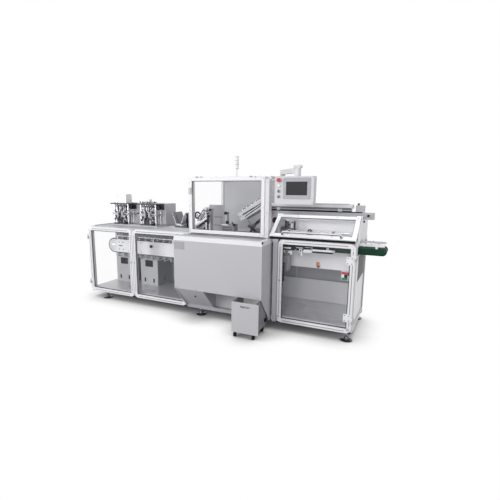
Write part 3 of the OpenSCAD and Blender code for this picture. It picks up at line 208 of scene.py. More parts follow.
def clearSheet(name, tint, alpha=0.02):
    look = clearLook
    paint = newPaint(name, colour=srgb(*tint), level=look["level"])
    wipe = paint.noise(look["wipe"], 5.0, 0.6, paint.stretched(look["wipeStretch"]))
    paint.set("Alpha", wipe * look["wipeDepth"] + (alpha - look["wipeDepth"] / 2))
    paint.set("Roughness", wipe * look["gloss"][0] + look["gloss"][1])
    return paint.material


# screen that is off: dark glass whose colour is lightened along a soft leaning band, a painted sheen
screenLook = {
    "level": 0.2, "paintedSheen": (2.2, 2.75), "haze": 9.0, "share": (0.2, 0.8), "tone": (0.85, 1.35), "smear": 60.0,
    "gloss": (0.1, 0.24)}


def screenGlass(name, colour):
    look = screenLook
    paint = newPaint(name, level=look["level"])
    paintedSheen = paint.spread(paint.axis("X") + paint.axis("Z"), *look["paintedSheen"])
    # the screen's colour mixes faint noise with the leaning band of painted sheen
    haze = paint.noise(look["haze"], 3.0) * look["share"][0] + paintedSheen * look["share"][1]
    paint.set("Base Color", paint.blend(haze, *shades(colour, look["tone"])))
    paint.set("Roughness", paint.noise(look["smear"], 3.0) * look["gloss"][0] + look["gloss"][1])
    return paint.material


# finishes of the record's material slots, of single nodes, of some faces and of added pieces:
# name, colour and, where they differ from the usual, the further values of each kind
finishRows = {
    paintedSheet: {
        "white_profile": ("profileWhite", (218, 218, 221), 0.36),
        "pale_sheet": ("panelPale", (222, 222, 226)),
        "grey_sheet": ("hoodGrey", (172, 172, 177)),
        "white_plate": ("plateWhite", (222, 222, 226), 0.34),
        "board_sheet": ("boardGrey", (168, 168, 172), 0.5),
        "machine_grey": ("machineGrey", (178, 178, 184), 0.38),
        "hinge_metal": ("hingeGrey", (165, 165, 170), 0.4),
        "panel_paint": ("panelPaint", (196, 196, 201), 0.4),
        "blankPlate": ("blankPlate", (148, 148, 154), 0.45),
        "recess": ("recessGrey", (166, 166, 171), 0.5),
        # whiter than the sheet: painted light on the shaded inner plate and upper panels
        "inside": ("insideLitWhite", (246, 246, 248), 0.5),
        "deckPale": ("deckPale", (176, 176, 180), 0.45),
        "cabinetGrey": ("cabinetGrey", (190, 190, 195)),
        # rear panel greys, darker than their sheet: painted shade on the rear wall inside the machine, under
        # the inner plate and behind the infeed conveyor
        "rearShadeGrey": ("rearShadeGrey", (156, 156, 161), 0.5),
        "rearInfeedShade": ("rearInfeedShade", (162, 162, 167), 0.5),
        "lowerSheet": ("lowerSheet", (206, 206, 210), 0.45),
        # white of the right end panel, used also as painted light on the cart's inner back wall and the
        # cabinet's front
        "endWhiteAndPaintedLight": ("endWhiteAndPaintedLight", (246, 246, 248), 0.4),
        # darker grey for the right-hand faces of the pedestals and the cart: painted shade on the side away
        # from the light
        "sideShadeGrey": ("sideShadeGrey", (128, 128, 133), 0.45),
        # hood sides a little lighter than the hood's grey: painted light on the shaded sides
        "hoodSideLit": ("hoodSideLit", (180, 180, 185)),
        "beamGrey": ("beamGrey", (168, 168, 173), 0.4),
        "postGrey": ("postGrey", (206, 206, 210), 0.36),
        "armGrey": ("armGrey", (204, 204, 208), 0.36),
        # dark grey of the vent ribs, also painted shade on the underside of the cover's handle
        "louvreAndUnderShade": ("louvreGrey", (72, 72, 75), 0.5),
        "coverWhite": ("coverWhite", (240, 240, 242), 0.34),
        "sideRail": ("sideRail", (150, 150, 155), 0.45),
        # dark grey over the whole carton feeder: painted shade on its light grey housing
        "feederShadeGrey": ("feederShadeGrey", (110, 110, 114), 0.42),
        "stationGrey": ("stationGrey", (146, 146, 151), 0.42),
    },
    brushedMetal: {
        "pan_sheet": ("panSteel", (200, 200, 204), 0.3, 0.45),
        "foot_metal": ("footPlate", (112, 112, 116), 0.2, 0.9),
        "dark_steel": ("darkSteel", (62, 62, 66), 0.4, 0.5),
        "bucket_steel": ("bucketSteel", (172, 172, 178), 0.32),
        "bright_steel": ("brightSteel", (222, 222, 228), 0.22),
        "handle_metal": ("handleTube", (206, 206, 210), 0.3, 0.3),
        "bolt": ("boltSteel", (150, 150, 156), 0.3, 1.0, allRound),
        "railGrey": ("railGrey", (160, 160, 165), 0.38, 0.3),
        "flightPale": ("flightPale", (226, 226, 230), 0.34, 0.3),
        "chainDark": ("chainDark", (46, 46, 49), 0.4, 0.5, allRound),
        # darker grey for the faces inside the leaflet chute: painted shade
        "chuteInsideShade": ("chuteInsideShade", (120, 120, 125), 0.4, 0.4),
    },
    mouldedPlastic: {
        "pale_plastic": ("palePlastic", (232, 232, 234)),
        "green_belt": ("beltGreen", (8, 56, 37), 0.6, 0.15, 600.0, 0.3),
        "screen_bezel": ("bezelGrey", (158, 158, 163)),
        "button_plastic": ("buttonDark", (84, 86, 90), 0.35),
        "black_rubber": ("rubberBlack", (20, 20, 21), 0.65, 0.15),
        "black_plastic": ("plasticBlack", (18, 18, 19), 0.45, 0.2),
        "stopRed": ("stopRed", (176, 30, 44), 0.35),
        "lampWhite": ("lampWhite", (228, 232, 226), 0.25),
        "orange": ("sensorOrange", (222, 134, 96), 0.45),
        "rust": ("sensorRust", (112, 58, 40), 0.5),
        "blockRed": ("blockRed", (190, 40, 36), 0.45),
        "blockGreen": ("blockGreen", (20, 110, 70), 0.45),
        "seal": ("sealGrey", (52, 53, 56), 0.6, 0.2),
        "filter": ("filterPad", (52, 52, 55), 0.8, 0.5, 260.0, 0.6),
        # near black: painted shade behind the pedestals' openings, and the own colour of the dark bracket in
        # the outfeed module
        "holeShadeAndBracket": ("holeShadeAndBracketDark", (34, 34, 36), 0.8, 0.1),
        # grey for the slot lines: painted shade in the profiles' grooves
        "slotShadeGrey": ("slotShadeGrey", (140, 140, 144), 0.6, 0.2),
        "deepBlack": ("deepBlack", (8, 8, 9), 0.7, 0.03),
    },
    clearSheet: {
        "clear_sheet": ("clearPane", (225, 228, 230)),
        "haze": ("coverPane", (236, 237, 238), 0.03),
    },
    screenGlass: {
        "screen": ("screenOff", (44, 44, 47)),
    },
}
finishes = {key: kind(*row) for kind, rows in finishRows.items() for key, row in rows.items()}
# own finishes of single nodes; those of the rear panels, inner plate, upper panels, hood sides and carton
# feeder hold painted light or shade
ownFinish = {
    "recess_panels": "recess", "inner_plate": "inside", "rear_panels": "rearShadeGrey", "cover_pane": "haze",
    "incline_rails": "railGrey", "leaflet_unit": "railGrey", "upper_panels": "inside", "decks": "deckPale",
    "rear_cabinet": "cabinetGrey", "infeed_flights": "flightPale", "infeed_chain": "chainDark",
    "right_end_panel": "endWhiteAndPaintedLight", "carton_feeder": "feederShadeGrey", "hood_sides": "hoodSideLit",
    "magazine_beam": "beamGrey", "magazine_tray": "armGrey", "guard_posts": "postGrey",
    "panel_arm": "armGrey", "cover_frame": "coverWhite",
}
slotOf = {part["node"]: part["material_slot"] for part in frame["record"]["subparts"]}
for name, thing in nodes.items():
    thing.data.materials.clear()
    thing.data.materials.append(finishes[ownFinish.get(name, slotOf[name])])
print("finishes set:", len(finishes))

# the line's own measure: mm from the infeed end, the doors' plane and the floor
lineSet = {"doorPlane": -0.22, "perMetre": 1000}
lineStart = Vector((cadBox[0].x, lineSet["doorPlane"], 0.0))


def fromLine(*spot):
    return Vector([value / lineSet["perMetre"] for value in spot]) + lineStart


def toLine(spot):
    return (Vector(spot) - lineStart) * lineSet["perMetre"]


# another finish for the faces of a CAD node that a rule picks by their middle, in line mm, and normal
def dress(node, finish, rule):
    mesh = nodes[node].data
    mesh.materials.append(finish)
    for face in mesh.polygons:
        if rule(toLine(face.center), face.normal):
            face.material_index = len(mesh.materials) - 1


dressSet = {
    "square": 0.9, "leaning": 0.5, "infeedEnd": 1525, "deckEnd": 1530, "rollersY": (122, 208),
    "rollersLow": 970, "buttonSize": 32, "buttonGaps": 3, "buttonShare": (0.8, 1.6), "chuteUp": 0.15,
    "chuteLeft": -0.6, "cartFront": -120, "rearPosts": 700, "shelfTop": 972, "rightPostX": (2526, 2606),
    "frontPosts": 60, "handleUnder": -0.3, "bottomRail": 140, "stationBars": 790}
square, leaning = dressSet["square"], dressSet["leaning"]
screenBack = toLine(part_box("panel_screen")[0]).y + 1
buttonLow, buttonTop = (toLine(corner).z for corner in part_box("panel_buttons"))
buttonStep = (buttonTop - buttonLow - dressSet["buttonSize"]) / dressSet["buttonGaps"]
stopLow, lampLow = (buttonTop - buttonStep * share for share in dressSet["buttonShare"])
plateTop = toLine(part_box("feeder_plates")[1]).z - 1
rollerFront, rollerBack = dressSet["rollersY"]
postLeft, postRight = dressSet["rightPostX"]
dress("panel_screen", finishes["screen"], lambda c, n: n.y < -square and c.y > screenBack)
dress("panel_buttons", finishes["stopRed"], lambda c, n: c.z > stopLow)
dress("panel_buttons", finishes["lampWhite"], lambda c, n: lampLow < c.z < stopLow)
dress("feeder_units", finishes["pale_plastic"], lambda c, n: c.z > plateTop)
dress("feeder_plates", finishes["machine_grey"], lambda c, n: c.z < dressSet["shelfTop"])
dress("outfeed_bed", finishes["green_belt"], lambda c, n: abs(n.y) > square)
dress("leaflet_unit", finishes["black_rubber"],
      lambda c, n: abs(n.y) < leaning and c.z > dressSet["rollersLow"] and rollerFront < c.y < rollerBack)
# upward and left-facing faces inside the chute painted darker: painted shade
dress("leaflet_chute", finishes["chuteInsideShade"],
      lambda c, n: n.z > dressSet["chuteUp"] or n.x < dressSet["chuteLeft"])
# rear wall behind the infeed conveyor: a second painted shade grey
dress("rear_panels", finishes["rearInfeedShade"], lambda c, n: c.x < dressSet["infeedEnd"])
dress("decks", finishes["pan_sheet"], lambda c, n: c.x > dressSet["deckEnd"])
# right-hand faces of the pedestals and the cart painted darker: painted shade
dress("pedestals", finishes["sideShadeGrey"], lambda c, n: n.x > square)
dress("cart_body", finishes["sideShadeGrey"], lambda c, n: n.x > leaning)
# inner face of the cart's back wall painted white: painted light in the cart's shaded inside
dress("cart_body", finishes["endWhiteAndPaintedLight"], lambda c, n: n.y < -leaning and c.y > dressSet["cartFront"])
# front faces of the rear posts take the rear wall's painted shade grey
dress("posts", finishes["rearShadeGrey"], lambda c, n: n.y < -square and c.y > dressSet["rearPosts"])
dress("posts", finishes["beamGrey"],
      lambda c, n: n.y < -square and postLeft < c.x < postRight and c.y < dressSet["frontPosts"])
# cabinet's front faces painted white, lighter than its grey sides: painted light
dress("rear_cabinet", finishes["endWhiteAndPaintedLight"], lambda c, n: n.y < -square)
# underside of the cover's handle painted dark: painted shade
dress("cover_handle", finishes["louvreAndUnderShade"], lambda c, n: n.z < dressSet["handleUnder"])
dress("hood_frame", finishes["sideRail"], lambda c, n: c.z < dressSet["bottomRail"])
dress("closing_station", finishes["deepBlack"], lambda c, n: c.z > dressSet["stationBars"])
dress("closing_station", finishes["stationGrey"], lambda c, n: c.z < dressSet["stationBars"])
softEdge = {"width": 0.0012, "segments": 2, "angle": 50}
for thing in nodes.values():
    rounding = thing.modifiers.new("softEdge", "BEVEL")
    rounding.width, rounding.segments = softEdge["width"], softEdge["segments"]
    rounding.limit_method, rounding.angle_limit = "ANGLE", math.radians(softEdge["angle"])
    rounding.use_clamp_overlap = True
print("CAD nodes dressed")


# faces of a round skin of rows of points, closed at both ends
def skinFaces(rows, sides):
    faces = []
    for row in range(rows - 1):
        for k in range(sides):
            n = (k + 1) % sides
            faces.append([row * sides + k, row * sides + n, (row + 1) * sides + n, (row + 1) * sides + k])
    return faces + [list(range(sides)), [(rows - 1) * sides + k for k in range(sides)]]


def bendPoint(four, t):
    a, b, c, d = four
    bend = (2 * a - 5 * b + 4 * c - d) * t * t + (3 * b - a - 3 * c + d) * t ** 3
    return 0.5 * (2 * b + (c - a) * t + bend)


def tilted(spot, degrees, axis):
    return Matrix.Translation(spot) @ Matrix.Rotation(math.radians(degrees), 4, axis)


front, back, up, right = (0, -1, 0), (0, 1, 0), (0, 0, 1), (1, 0, 0)
steel, bucket, dark = finishes["bright_steel"], finishes["bucket_steel"], finishes["dark_steel"]
pale, grey = finishes["white_plate"], finishes["machine_grey"]
black, rubber = finishes["black_plastic"], finishes["black_rubber"]
seal, bolt, deep = finishes["seal"], finishes["bolt"], finishes["deepBlack"]
screwHead = ((1, 0), (1, 0.7), (0.85, 0.9), (0.5, 0.9), (0.45, 0.35))  # shares of the radius
edgeLimit = 0.4  # share of a box's shortest side
smoothAngle = 35


# one added piece, gathered part by part in the line's millimetres, each part with its own finish
class Shape:
    def __init__(self, name, body="root"):
        self.name, self.body = name, body
        self.points, self.faces, self.kinds, self.used = [], [], [], []

    def add(self, points, faces, finish, turn=None):
        first = len(self.points)
        self.points += [turn @ Vector(p) if turn else Vector(p) for p in points]
        self.faces += [[first + i for i in face] for face in faces]
        if finish not in self.used:
            self.used.append(finish)
        self.kinds += [self.used.index(finish)] * len(faces)

    # box over a span of x, y and z, its edges taken off
    def box(self, x, y, z, finish, edge=1.0, turn=None):
        low, high = zip(x, y, z)
        edge = min([edge] + [abs(high[k] - low[k]) * edgeLimit for k in range(3)])
        corners = list(product((0, 1), repeat=3))
        spots, index = [], {}
        for corner in corners:
            for axis in range(3):
                inset = [0 if k == axis else edge for k in range(3)]
                index[corner, axis] = len(spots)
                spots.append([high[k] - inset[k] if corner[k] else low[k] + inset[k] for k in range(3)])
        faces = [[index[corner, axis] for axis in range(3)] for corner in corners]
        for a in range(3):
            b, c = (a + 1) % 3, (a + 2) % 3

            def cornerAt(s, t, u):
                spot = [0, 0, 0]
                spot[a], spot[b], spot[c] = s, t, u
                return tuple(spot)
            for s in (0, 1):
                faces.append([index[cornerAt(s, t, u), a] for t, u in ((0, 0), (1, 0), (1, 1), (0, 1))])
                for t in (0, 1):
                    faces.append([index[cornerAt(s, t, 0), a], index[cornerAt(s, t, 1), a],
                                  index[cornerAt(s, t, 1), b], index[cornerAt(s, t, 0), b]])
        self.add(spots, faces, finish, turn)

    # rows of spans, finish and edge
    def boxes(self, rows, move=(0, 0, 0), turn=None):
        for *spans, finish, edge in rows:
            x, y, z = ([end + step for end in span] for span, step in zip(spans, move))
            self.box(x, y, z, finish, edge, turn)

    # flat bar that leans from one spot of x and z to another
    def bar(self, start, end, y, depth, half, finish, edge):
        length, rise = end[0] - start[0], end[1] - start[1]
        lean = tilted((start[0], y, start[1]), -math.degrees(math.atan2(rise, length)), "Y")
        self.box((0, math.hypot(length, rise)), (0, depth), (-half, half), finish, edge, lean)

    # turned piece: pairs of radius and height along a direction
    def turned(self, spot, direction, profile, finish, sides=18, turn=None):
        swing = Vector(up).rotation_difference(Vector(direction)).to_matrix().to_4x4()
        swing = Matrix.Translation(Vector(spot)) @ swing
        angles = [k * math.tau / sides for k in range(sides)]
        points = [(r * math.cos(a), r * math.sin(a), h) for r, h in profile for a in angles]
        self.add(points, skinFaces(len(profile), sides), finish, turn @ swing if turn else swing)

    # the same turned piece at every mix of the places given
    def studs(self, x, y, z, profile, direction=front, finish=bolt, sides=18, turn=None):
        for spot in product(x, y, z):
            self.turned(spot, direction, profile, finish, sides, turn)

    # socket-head screws with their recess
    def screws(self, x, y, z, r, direction=front, finish=bolt, turn=None):
        self.studs(x, y, z, [(r * out, r * rise) for out, rise in screwHead], direction, finish, 12, turn)

    # round bar along points, bent softly where asked
    def tube(self, path, r, finish, sides=8, soft=0):
        path = [Vector(p) for p in path]
        if soft:
            ends = [path[0] * 2 - path[1]] + path + [path[-1] * 2 - path[-2]]
            fours = [ends[k:k + 4] for k in range(len(ends) - 3)]
            path = [bendPoint(four, t / soft) for four in fours for t in range(soft)] + [path[-1]]
        points, side = [], None
        for k, spot in enumerate(path):
            along = (path[min(k + 1, len(path) - 1)] - path[max(k - 1, 0)]).normalized()
            side = along.orthogonal() if side is None else side - along * side.dot(along)
            side.normalize()
            other = along.cross(side)
            points += [spot + (side * math.cos(a) + other * math.sin(a)) * r
                       for a in (n * math.tau / sides for n in range(sides))]
        self.add(points, skinFaces(len(path), sides), finish)

    def done(self):
        mesh = bpy.data.meshes.new(self.name)
        mesh.from_pydata([fromLine(*p) for p in self.points], [], self.faces)
        for finish in self.used:
            mesh.materials.append(finish)
        mesh.polygons.foreach_set("material_index", self.kinds)
        mesh.polygons.foreach_set("use_smooth", [True] * len(self.faces))
        work = bmesh.new()
        work.from_mesh(mesh)
        bmesh.ops.recalc_face_normals(work, faces=work.faces)
        work.to_mesh(mesh)
        work.free()
        mesh.set_sharp_from_angle(angle=math.radians(smoothAngle))
        thing = bpy.data.objects.new(self.name, mesh)
        bpy.context.collection.objects.link(thing)
        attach(thing, self.body)


# doors: grey slot lines along the profiles as painted shade in their grooves, seal round the pane, screws,
# end caps and a lock
doorSet = {
    "spans": {
        "left_door": (9, 737.5, "right"), "middle_door": (742.5, 1515, "left"),
        "right_door": (2605, 3341, "left")},
    "low": 90, "high": 945, "profile": 45, "face": [0.5], "screw": 4,
    "slot": {"half": 3.5, "y": (-0.6, 1), "ends": 1.5, "edge": 0.2},
    "seal": {"width": 8, "lap": 0.5, "y": (15, 19.9)},
    "cap": {"half": 16, "y": (6, 34), "z": (-3, 1)},
    "lock": {"z": [533], "profile": [(11, 0), (11, 2), (9, 3), (5, 3), (4, 1)]}}
low, high, wide, face = (doorSet[key] for key in ("low", "high", "profile", "face"))
slot, rim, cap = doorSet["slot"], doorSet["seal"], doorSet["cap"]
slotShadeLook = (finishes["slotShadeGrey"], slot["edge"])
for body, (x0, x1, lockSide) in doorSet["spans"].items():
    trim = Shape(body + "_trim", body)
    stiles, rails = (x0 + wide / 2, x1 - wide / 2), (low + wide / 2, high - wide / 2)
    inset, inner = slot["ends"] * wide, rim["width"] - rim["lap"]
    for x in stiles:
        trim.box((x - slot["half"], x + slot["half"]), slot["y"], (low + inset, high - inset), *slotShadeLook)
        trim.box((x - cap["half"], x + cap["half"]), cap["y"], [low + end for end in cap["z"]], black)
    for z in rails:
        trim.box((x0 + inset, x1 - inset), slot["y"], (z - slot["half"], z + slot["half"]), *slotShadeLook)
    for x in (x0 + wide - rim["lap"], x1 - wide - inner):
        trim.box((x, x + rim["width"]), rim["y"], (low + wide, high - wide), seal)
    for z in (low + wide - rim["lap"], high - wide - inner):
        trim.box((x0 + wide, x1 - wide), rim["y"], (z, z + rim["width"]), seal)
    trim.screws(stiles, face, (low + wide, high - wide), doorSet["screw"])
    trim.studs([stiles[1] if lockSide == "right" else stiles[0]], face, **doorSet["lock"])
    trim.done()

# right door: blank plates at the hinges, latch and stop at the lower corners
plateSet = {
    "hinge": {"x": (3262, 3326), "y": (-3.2, 0.4), "low": (205, 750), "height": 78, "edge": 1.2},
    "screw": {"x": (3276, 3312), "y": [-3], "rise": (14, 64), "r": 4.5},
    "latch": [
        ((2612, 2642), (-6, 0.5), (98, 176), pale, 2),
        ((2620, 2640), (-12, -5.5), (150, 170), bucket, 3),
        ((2608, 2628), (-9, 0.5), (91, 106), black, 3),
        ((3296, 3318), (-10, 0.5), (118, 146), grey, 3)]}
plates = Shape("right_door_plates", "right_door")
hinge, screw = plateSet["hinge"], plateSet["screw"]
for z in hinge["low"]:
    plates.box(hinge["x"], hinge["y"], (z, z + hinge["height"]), pale, hinge["edge"])
    rises = [z + rise for rise in screw["rise"]]
    plates.screws(screw["x"], screw["y"], rises, screw["r"], finish=finishes["filter"])
plates.boxes(plateSet["latch"])
plates.done()

# guard door: seal round the pane, screws
guardDoorSet = {
    "seal": {
        "x": (1609.5, 2410.5), "z": (993.5, 1510.5), "width": 5, "y": (12, 17.4),
        "spanX": (1610, 2415), "spanZ": (994, 1515)},
    "screws": {"x": (1585, 2440), "y": [0.5], "z": (972, 1250, 1540), "r": 4}}
guardTrim = Shape("guard_door_trim", "guard_door")
rim = guardDoorSet["seal"]
for x in rim["x"]:
    guardTrim.box((x, x + rim["width"]), rim["y"], rim["spanZ"], seal)
for z in rim["z"]:
    guardTrim.box(rim["spanX"], rim["y"], (z, z + rim["width"]), seal)
guardTrim.screws(**guardDoorSet["screws"])
guardTrim.done()

# dark strips behind the gaps between doors, painted shade in the gaps
gapSet = {"x": ((728, 752), (1512, 1526), (2598, 2608)), "y": (46, 49.6), "z": (100, 940), "edge": 0.5}
gaps = Shape("door_gap_shade_strips")
for x in gapSet["x"]:
    gaps.box(x, gapSet["y"], gapSet["z"], rubber, gapSet["edge"])
gaps.done()

# dark boxes behind the pedestals' openings, painted shade inside the pedestals, measured from each pedestal's
# left side
holeShadeSet = {
    "pedestals": (59, 494),
    "openings": [
        ((66, 219), (447, 454), (372, 486)), ((48, 89), (447, 454), (158, 238)),
        ((196, 237), (447, 454), (158, 238)), ((270, 277.5), (574, 626), (158, 238))]}
holeShades = Shape("pedestal_hole_shade")
for x in holeShadeSet["pedestals"]:
    holeShades.boxes([(*spans, finishes["holeShadeAndBracket"], 1) for spans in holeShadeSet["openings"]], (x, 0, 0))
holeShades.done()

# sloped cover, measured from its hinge along the slope: dark strips and a cap at its lower edge, seal,
# screws, feet of the handle
coverSet = {
    "hinge": (2515, 280, 1168), "slope": 35,
    "lowerDarkParts": [
        ((6, 814), (-344, -322), (-19, -14.5), rubber, 1),
        ((4, 816), (-356, -345.2), (-18, 4), rubber, 1),
        ((0.5, 24), (-358, -334), (-21, -8), deep, 2)],
    "seals": [
        ((39.5, 44.5), (-305, -52), (2.6, 7), seal, 0.5),
        ((775.5, 780.5), (-305, -52), (2.6, 7), seal, 0.5),
        ((40, 780), (-305.5, -300.5), (2.6, 7), seal, 0.5),
        ((40, 780), (-56.5, -51.5), (2.6, 7), seal, 0.5)],
    "screws": {"x": (20, 215, 605, 800), "y": (-325, -32), "z": [14.5], "r": 4},
    "handle": {
        "x": (130, 690), "y": [-325], "z": [14.5], "profile": [(15, 0), (15, 4), (12, 6)],
        "finish": finishes["handle_metal"], "sides": 20}}
slope = tilted(coverSet["hinge"], coverSet["slope"], "X")
coverTrim = Shape("cover_trim", "sloped_cover")
coverTrim.boxes(coverSet["lowerDarkParts"] + coverSet["seals"], turn=slope)
coverTrim.screws(**coverSet["screws"], direction=up, turn=slope)
coverTrim.studs(**coverSet["handle"], direction=up, turn=slope)
coverTrim.done()
print("door trims added")

# chain: rollers round both strands
chainSet = {
    "pitch": 24.0, "radius": 98.0, "roller": 4.2, "shafts": (168.0, 1808.0), "height": 671.0,
    "strands": ((300, 316), (414, 430)), "inset": 2, "overlap": 1}
chain = Shape("chain_links")
span = chainSet["shafts"][1] - chainSet["shafts"][0]
loop = 2 * span + math.tau * chainSet["radius"]
count = int(loop / chainSet["pitch"])


# x and z on the loop, a way along it from the top left, at a radius about the shafts
def chainSpot(way, r):
    x0, x1 = chainSet["shafts"]
    z, arc = chainSet["height"], math.pi * chainSet["radius"]
    if way < span:
        return x0 + way, z + r
    if way < span + arc:
        a = math.pi / 2 - (way - span) / chainSet["radius"]
        return x1 + r * math.cos(a), z + r * math.sin(a)
    if way < 2 * span + arc:
        return x1 - (way - span - arc), z - r
    a = -math.pi / 2 - (way - 2 * span - arc) / chainSet["radius"]
    return x0 + r * math.cos(a), z + r * math.sin(a)


for k in range(count):
    x, z = chainSpot(k * loop / count, chainSet["radius"] - chainSet["inset"])
    for y0, y1 in chainSet["strands"]:
        roller = [(chainSet["roller"], 0), (chainSet["roller"], y1 - y0 + 2 * chainSet["overlap"])]
        chain.turned((x, y0 - chainSet["overlap"], z), back, roller, finishes["chainDark"], 8)
chain.done()

# conveyor: dark round edges, hubs, screws, bucket backs and their rail
conveyorSet = {
    "edge": {"radius": 92, "y": 293, "steps": 24, "r": 4.5}, "face": [290.2],
    "hub": {"profile": [(22, 0), (22, 4), (19, 6), (8, 6), (7, 3)], "finish": steel, "sides": 24},
    "bearing": {"out": (95, 160), "rise": (-48, 48), "r": 7},
    "plate": {"x": (420, 640, 1000, 1240, 1480), "rise": (-60, 60), "r": 5},
    "backs": {
        "start": 226, "count": 20, "pitch": 76, "width": 62, "y": (432, 436), "low": 812,
        "high": 884, "step": 6, "steps": 3},
    "rail": [((226, 1770), (436.2, 439), (818, 834), grey, 1)]}
conveyor = Shape("conveyor_bolts")
edge, bearing, plate, backs = (conveyorSet[key] for key in ("edge", "bearing", "plate", "backs"))
height, face = chainSet["height"], conveyorSet["face"]
angles = [t * math.pi / edge["steps"] for t in range(edge["steps"] + 1)]
for x, side in zip(chainSet["shafts"], (-1, 1)):
    reach = side * edge["radius"]
    rim = [(x + reach * math.sin(a), edge["y"], height + edge["radius"] * math.cos(a)) for a in angles]
    conveyor.tube(rim, edge["r"], finishes["chainDark"])
    conveyor.studs([x], face, [height], **conveyorSet["hub"])
    rises = [height + rise for rise in bearing["rise"]]
    conveyor.screws([x - side * out for out in bearing["out"]], face, rises, bearing["r"])
conveyor.screws(plate["x"], face, [height + rise for rise in plate["rise"]], plate["r"])
for k in range(backs["count"]):
    x, top = backs["start"] + k * backs["pitch"], backs["high"] + backs["step"] * (k % backs["steps"])
    conveyor.box((x, x + backs["width"]), backs["y"], (backs["low"], top), finishes["flightPale"])
conveyor.boxes(conveyorSet["rail"])
conveyor.done()
print("conveyor details added")

# feeders, measured from each one's corner: collars on the columns, guide rods, brackets, bars, links
feederSet = {
    "spots": (140, 590), "y": 290,
    "columns": ((40, 40), (270, 40), (40, 140), (270, 140)),
    "collars": [
        (964, [(19, 0), (19, 9), (17, 11)], bolt, 18), (1133, [(18, 0), (18, 16), (16, 18)], grey, 18),
        (1060, [(17, 0), (17, 10), (15, 12)], steel, 18),
        (1240.5, [(12, 0), (12, 5), (9, 8), (5, 8), (4, 5)], bolt, 6)],
    "guides": ((84, 22), (226, 22)),
    "guideRods": [(964, [(11, 0), (11, 74), (8, 76)], steel, 18), (1040, [(4, 0), (4, 42)], bolt, 10)],
    "plates": [
        ((71, 97), (9, 35), (1034, 1042), grey, 1), ((213, 239), (9, 35), (1034, 1042), grey, 1),
        ((118, 140), (-8, 8), (1064, 1140), grey, 2), ((190, 212), (-8, 8), (1064, 1140), grey, 2),
        ((20, 250), (86, 98), (1170, 1186), steel, 1), ((60, 240), (60, 66), (1150, 1210), bucket, 1),
        ((44, 266), (2, 12), (964.2, 982), dark, 1.5)],
    "posts": [
        ((64, 80), (26, 38), (968, 1128), dark, 1.5), ((104, 117), (26, 38), (1000, 1214), black, 1.5),
        ((152, 167), (26, 38), (964, 1060), dark, 1.5), ((176, 186), (26, 38), (1060, 1210), black, 1.5),
        ((214, 228), (26, 38), (964, 1150), dark, 1.5), ((246, 255), (26, 38), (1040, 1212), black, 1.5)],
    "bars": [
        ((56, 176), (12, 24), (1120, 1133), dark, 1.5), ((92, 262), (12, 24), (1090, 1100), dark, 1.5),
        ((60, 156), (12, 24), (1012, 1024), dark, 1.5), ((150, 260), (12, 24), (1040, 1052), dark, 1.5),
        ((84, 274), (12, 24), (1196, 1210), dark, 1.5)],
    "teeth": [((x, x + 20), (4, 12), (1216, 1226), dark, 1) for x in range(70, 260, 38)],
    "screws": {"x": (129, 201), "y": -8, "z": (1126, 1078), "r": 5},
    "links": [((70, 1030), (130, 1110)), ((236, 1010), (168, 1096)), ((196, 1150), (262, 1206))],
    "link": {"y": 6, "r": 6, "pinY": 10, "pin": [(10, 0), (10, 12), (7, 14)]},
    "topRods": {"x": (236, 384), "y": (321, 439), "z": (1241, 1372), "r": 4},
    "knobs": {
        "x": (620, 660, 735, 775, 850), "y": [330], "z": [1241], "profile": [(7, 0), (7, 26), (5, 30)],
        "finish": dark, "sides": 12},
    "topBoxes": [
        ((640, 800), (350, 440), (1241, 1262), grey, 2),
        ((668, 742), (366, 420), (1262, 1296), finishes["pale_plastic"], 3)]}
feeders = Shape("feeder_details")
fy, screw, link, rod = feederSet["y"], feederSet["screws"], feederSet["link"], feederSet["topRods"]
for fx in feederSet["spots"]:
    for spots, parts in (("columns", "collars"), ("guides", "guideRods")):
        for (x, y), (z, profile, finish, sides) in product(feederSet[spots], feederSet[parts]):
            feeders.turned((fx + x, fy + y, z), up, profile, finish, sides)
    for rows in ("plates", "posts", "bars", "teeth"):
        feeders.boxes(feederSet[rows], (fx, fy, 0))
    feeders.screws([fx + x for x in screw["x"]], [fy + screw["y"]], screw["z"], screw["r"])
    for ends in feederSet["links"]:
        feeders.tube([(fx + x, fy + link["y"], z) for x, z in ends], link["r"], dark, 10)
        for x, z in ends:
            feeders.turned((fx + x, fy + link["pinY"], z), front, link["pin"], black, 14)
for x, y in product(rod["x"], rod["y"]):
    feeders.tube([(x, y, z) for z in rod["z"]], rod["r"], steel, 10)
feeders.studs(**feederSet["knobs"], direction=up)
feeders.boxes(feederSet["topBoxes"])
feeders.done()

# cabinet: vent slots, screws; a black strip along the deck's left end in front of it, painted shade in the
# gap there
cabinetSet = {
    "plates": [((6, 22), (120, 470), (949.2, 953), black, 1)],
    "vents": [((x - 36, x + 36), (496, 500.4), (1090, 1104), black, 1.5) for x in (150, 450, 750)],
    "screws": {"x": (30, 868), "y": [500.3], "z": (968, 1212), "r": 5}}
cabinet = Shape("cabinet_fittings")
cabinet.boxes(cabinetSet["plates"] + cabinetSet["vents"])
cabinet.screws(**cabinetSet["screws"])
cabinet.done()

# tray under the leaflet chute with a bow and a side bar
traySet = {
    "plates": [
        ((1080, 1276), (432, 470), (949.2, 958), black, 1),
        ((1248, 1268), (440, 454), (956, 1128), deep, 2)],
    "bow": [(1098, 1104), (1124, 1030), (1160, 992), (1206, 992), (1244, 1030), (1262, 1100)],
    "bowY": 436, "bowRadius": 6, "screws": {"x": (1100, 1215), "y": [440], "z": [957.6], "r": 5}}
tray = Shape("chute_tray")
tray.boxes(traySet["plates"])
tray.tube([(x, traySet["bowY"], z) for x, z in traySet["bow"]], traySet["bowRadius"], dark, 10, 5)
tray.screws(**traySet["screws"], direction=up)
tray.done()
print("feeder details added")

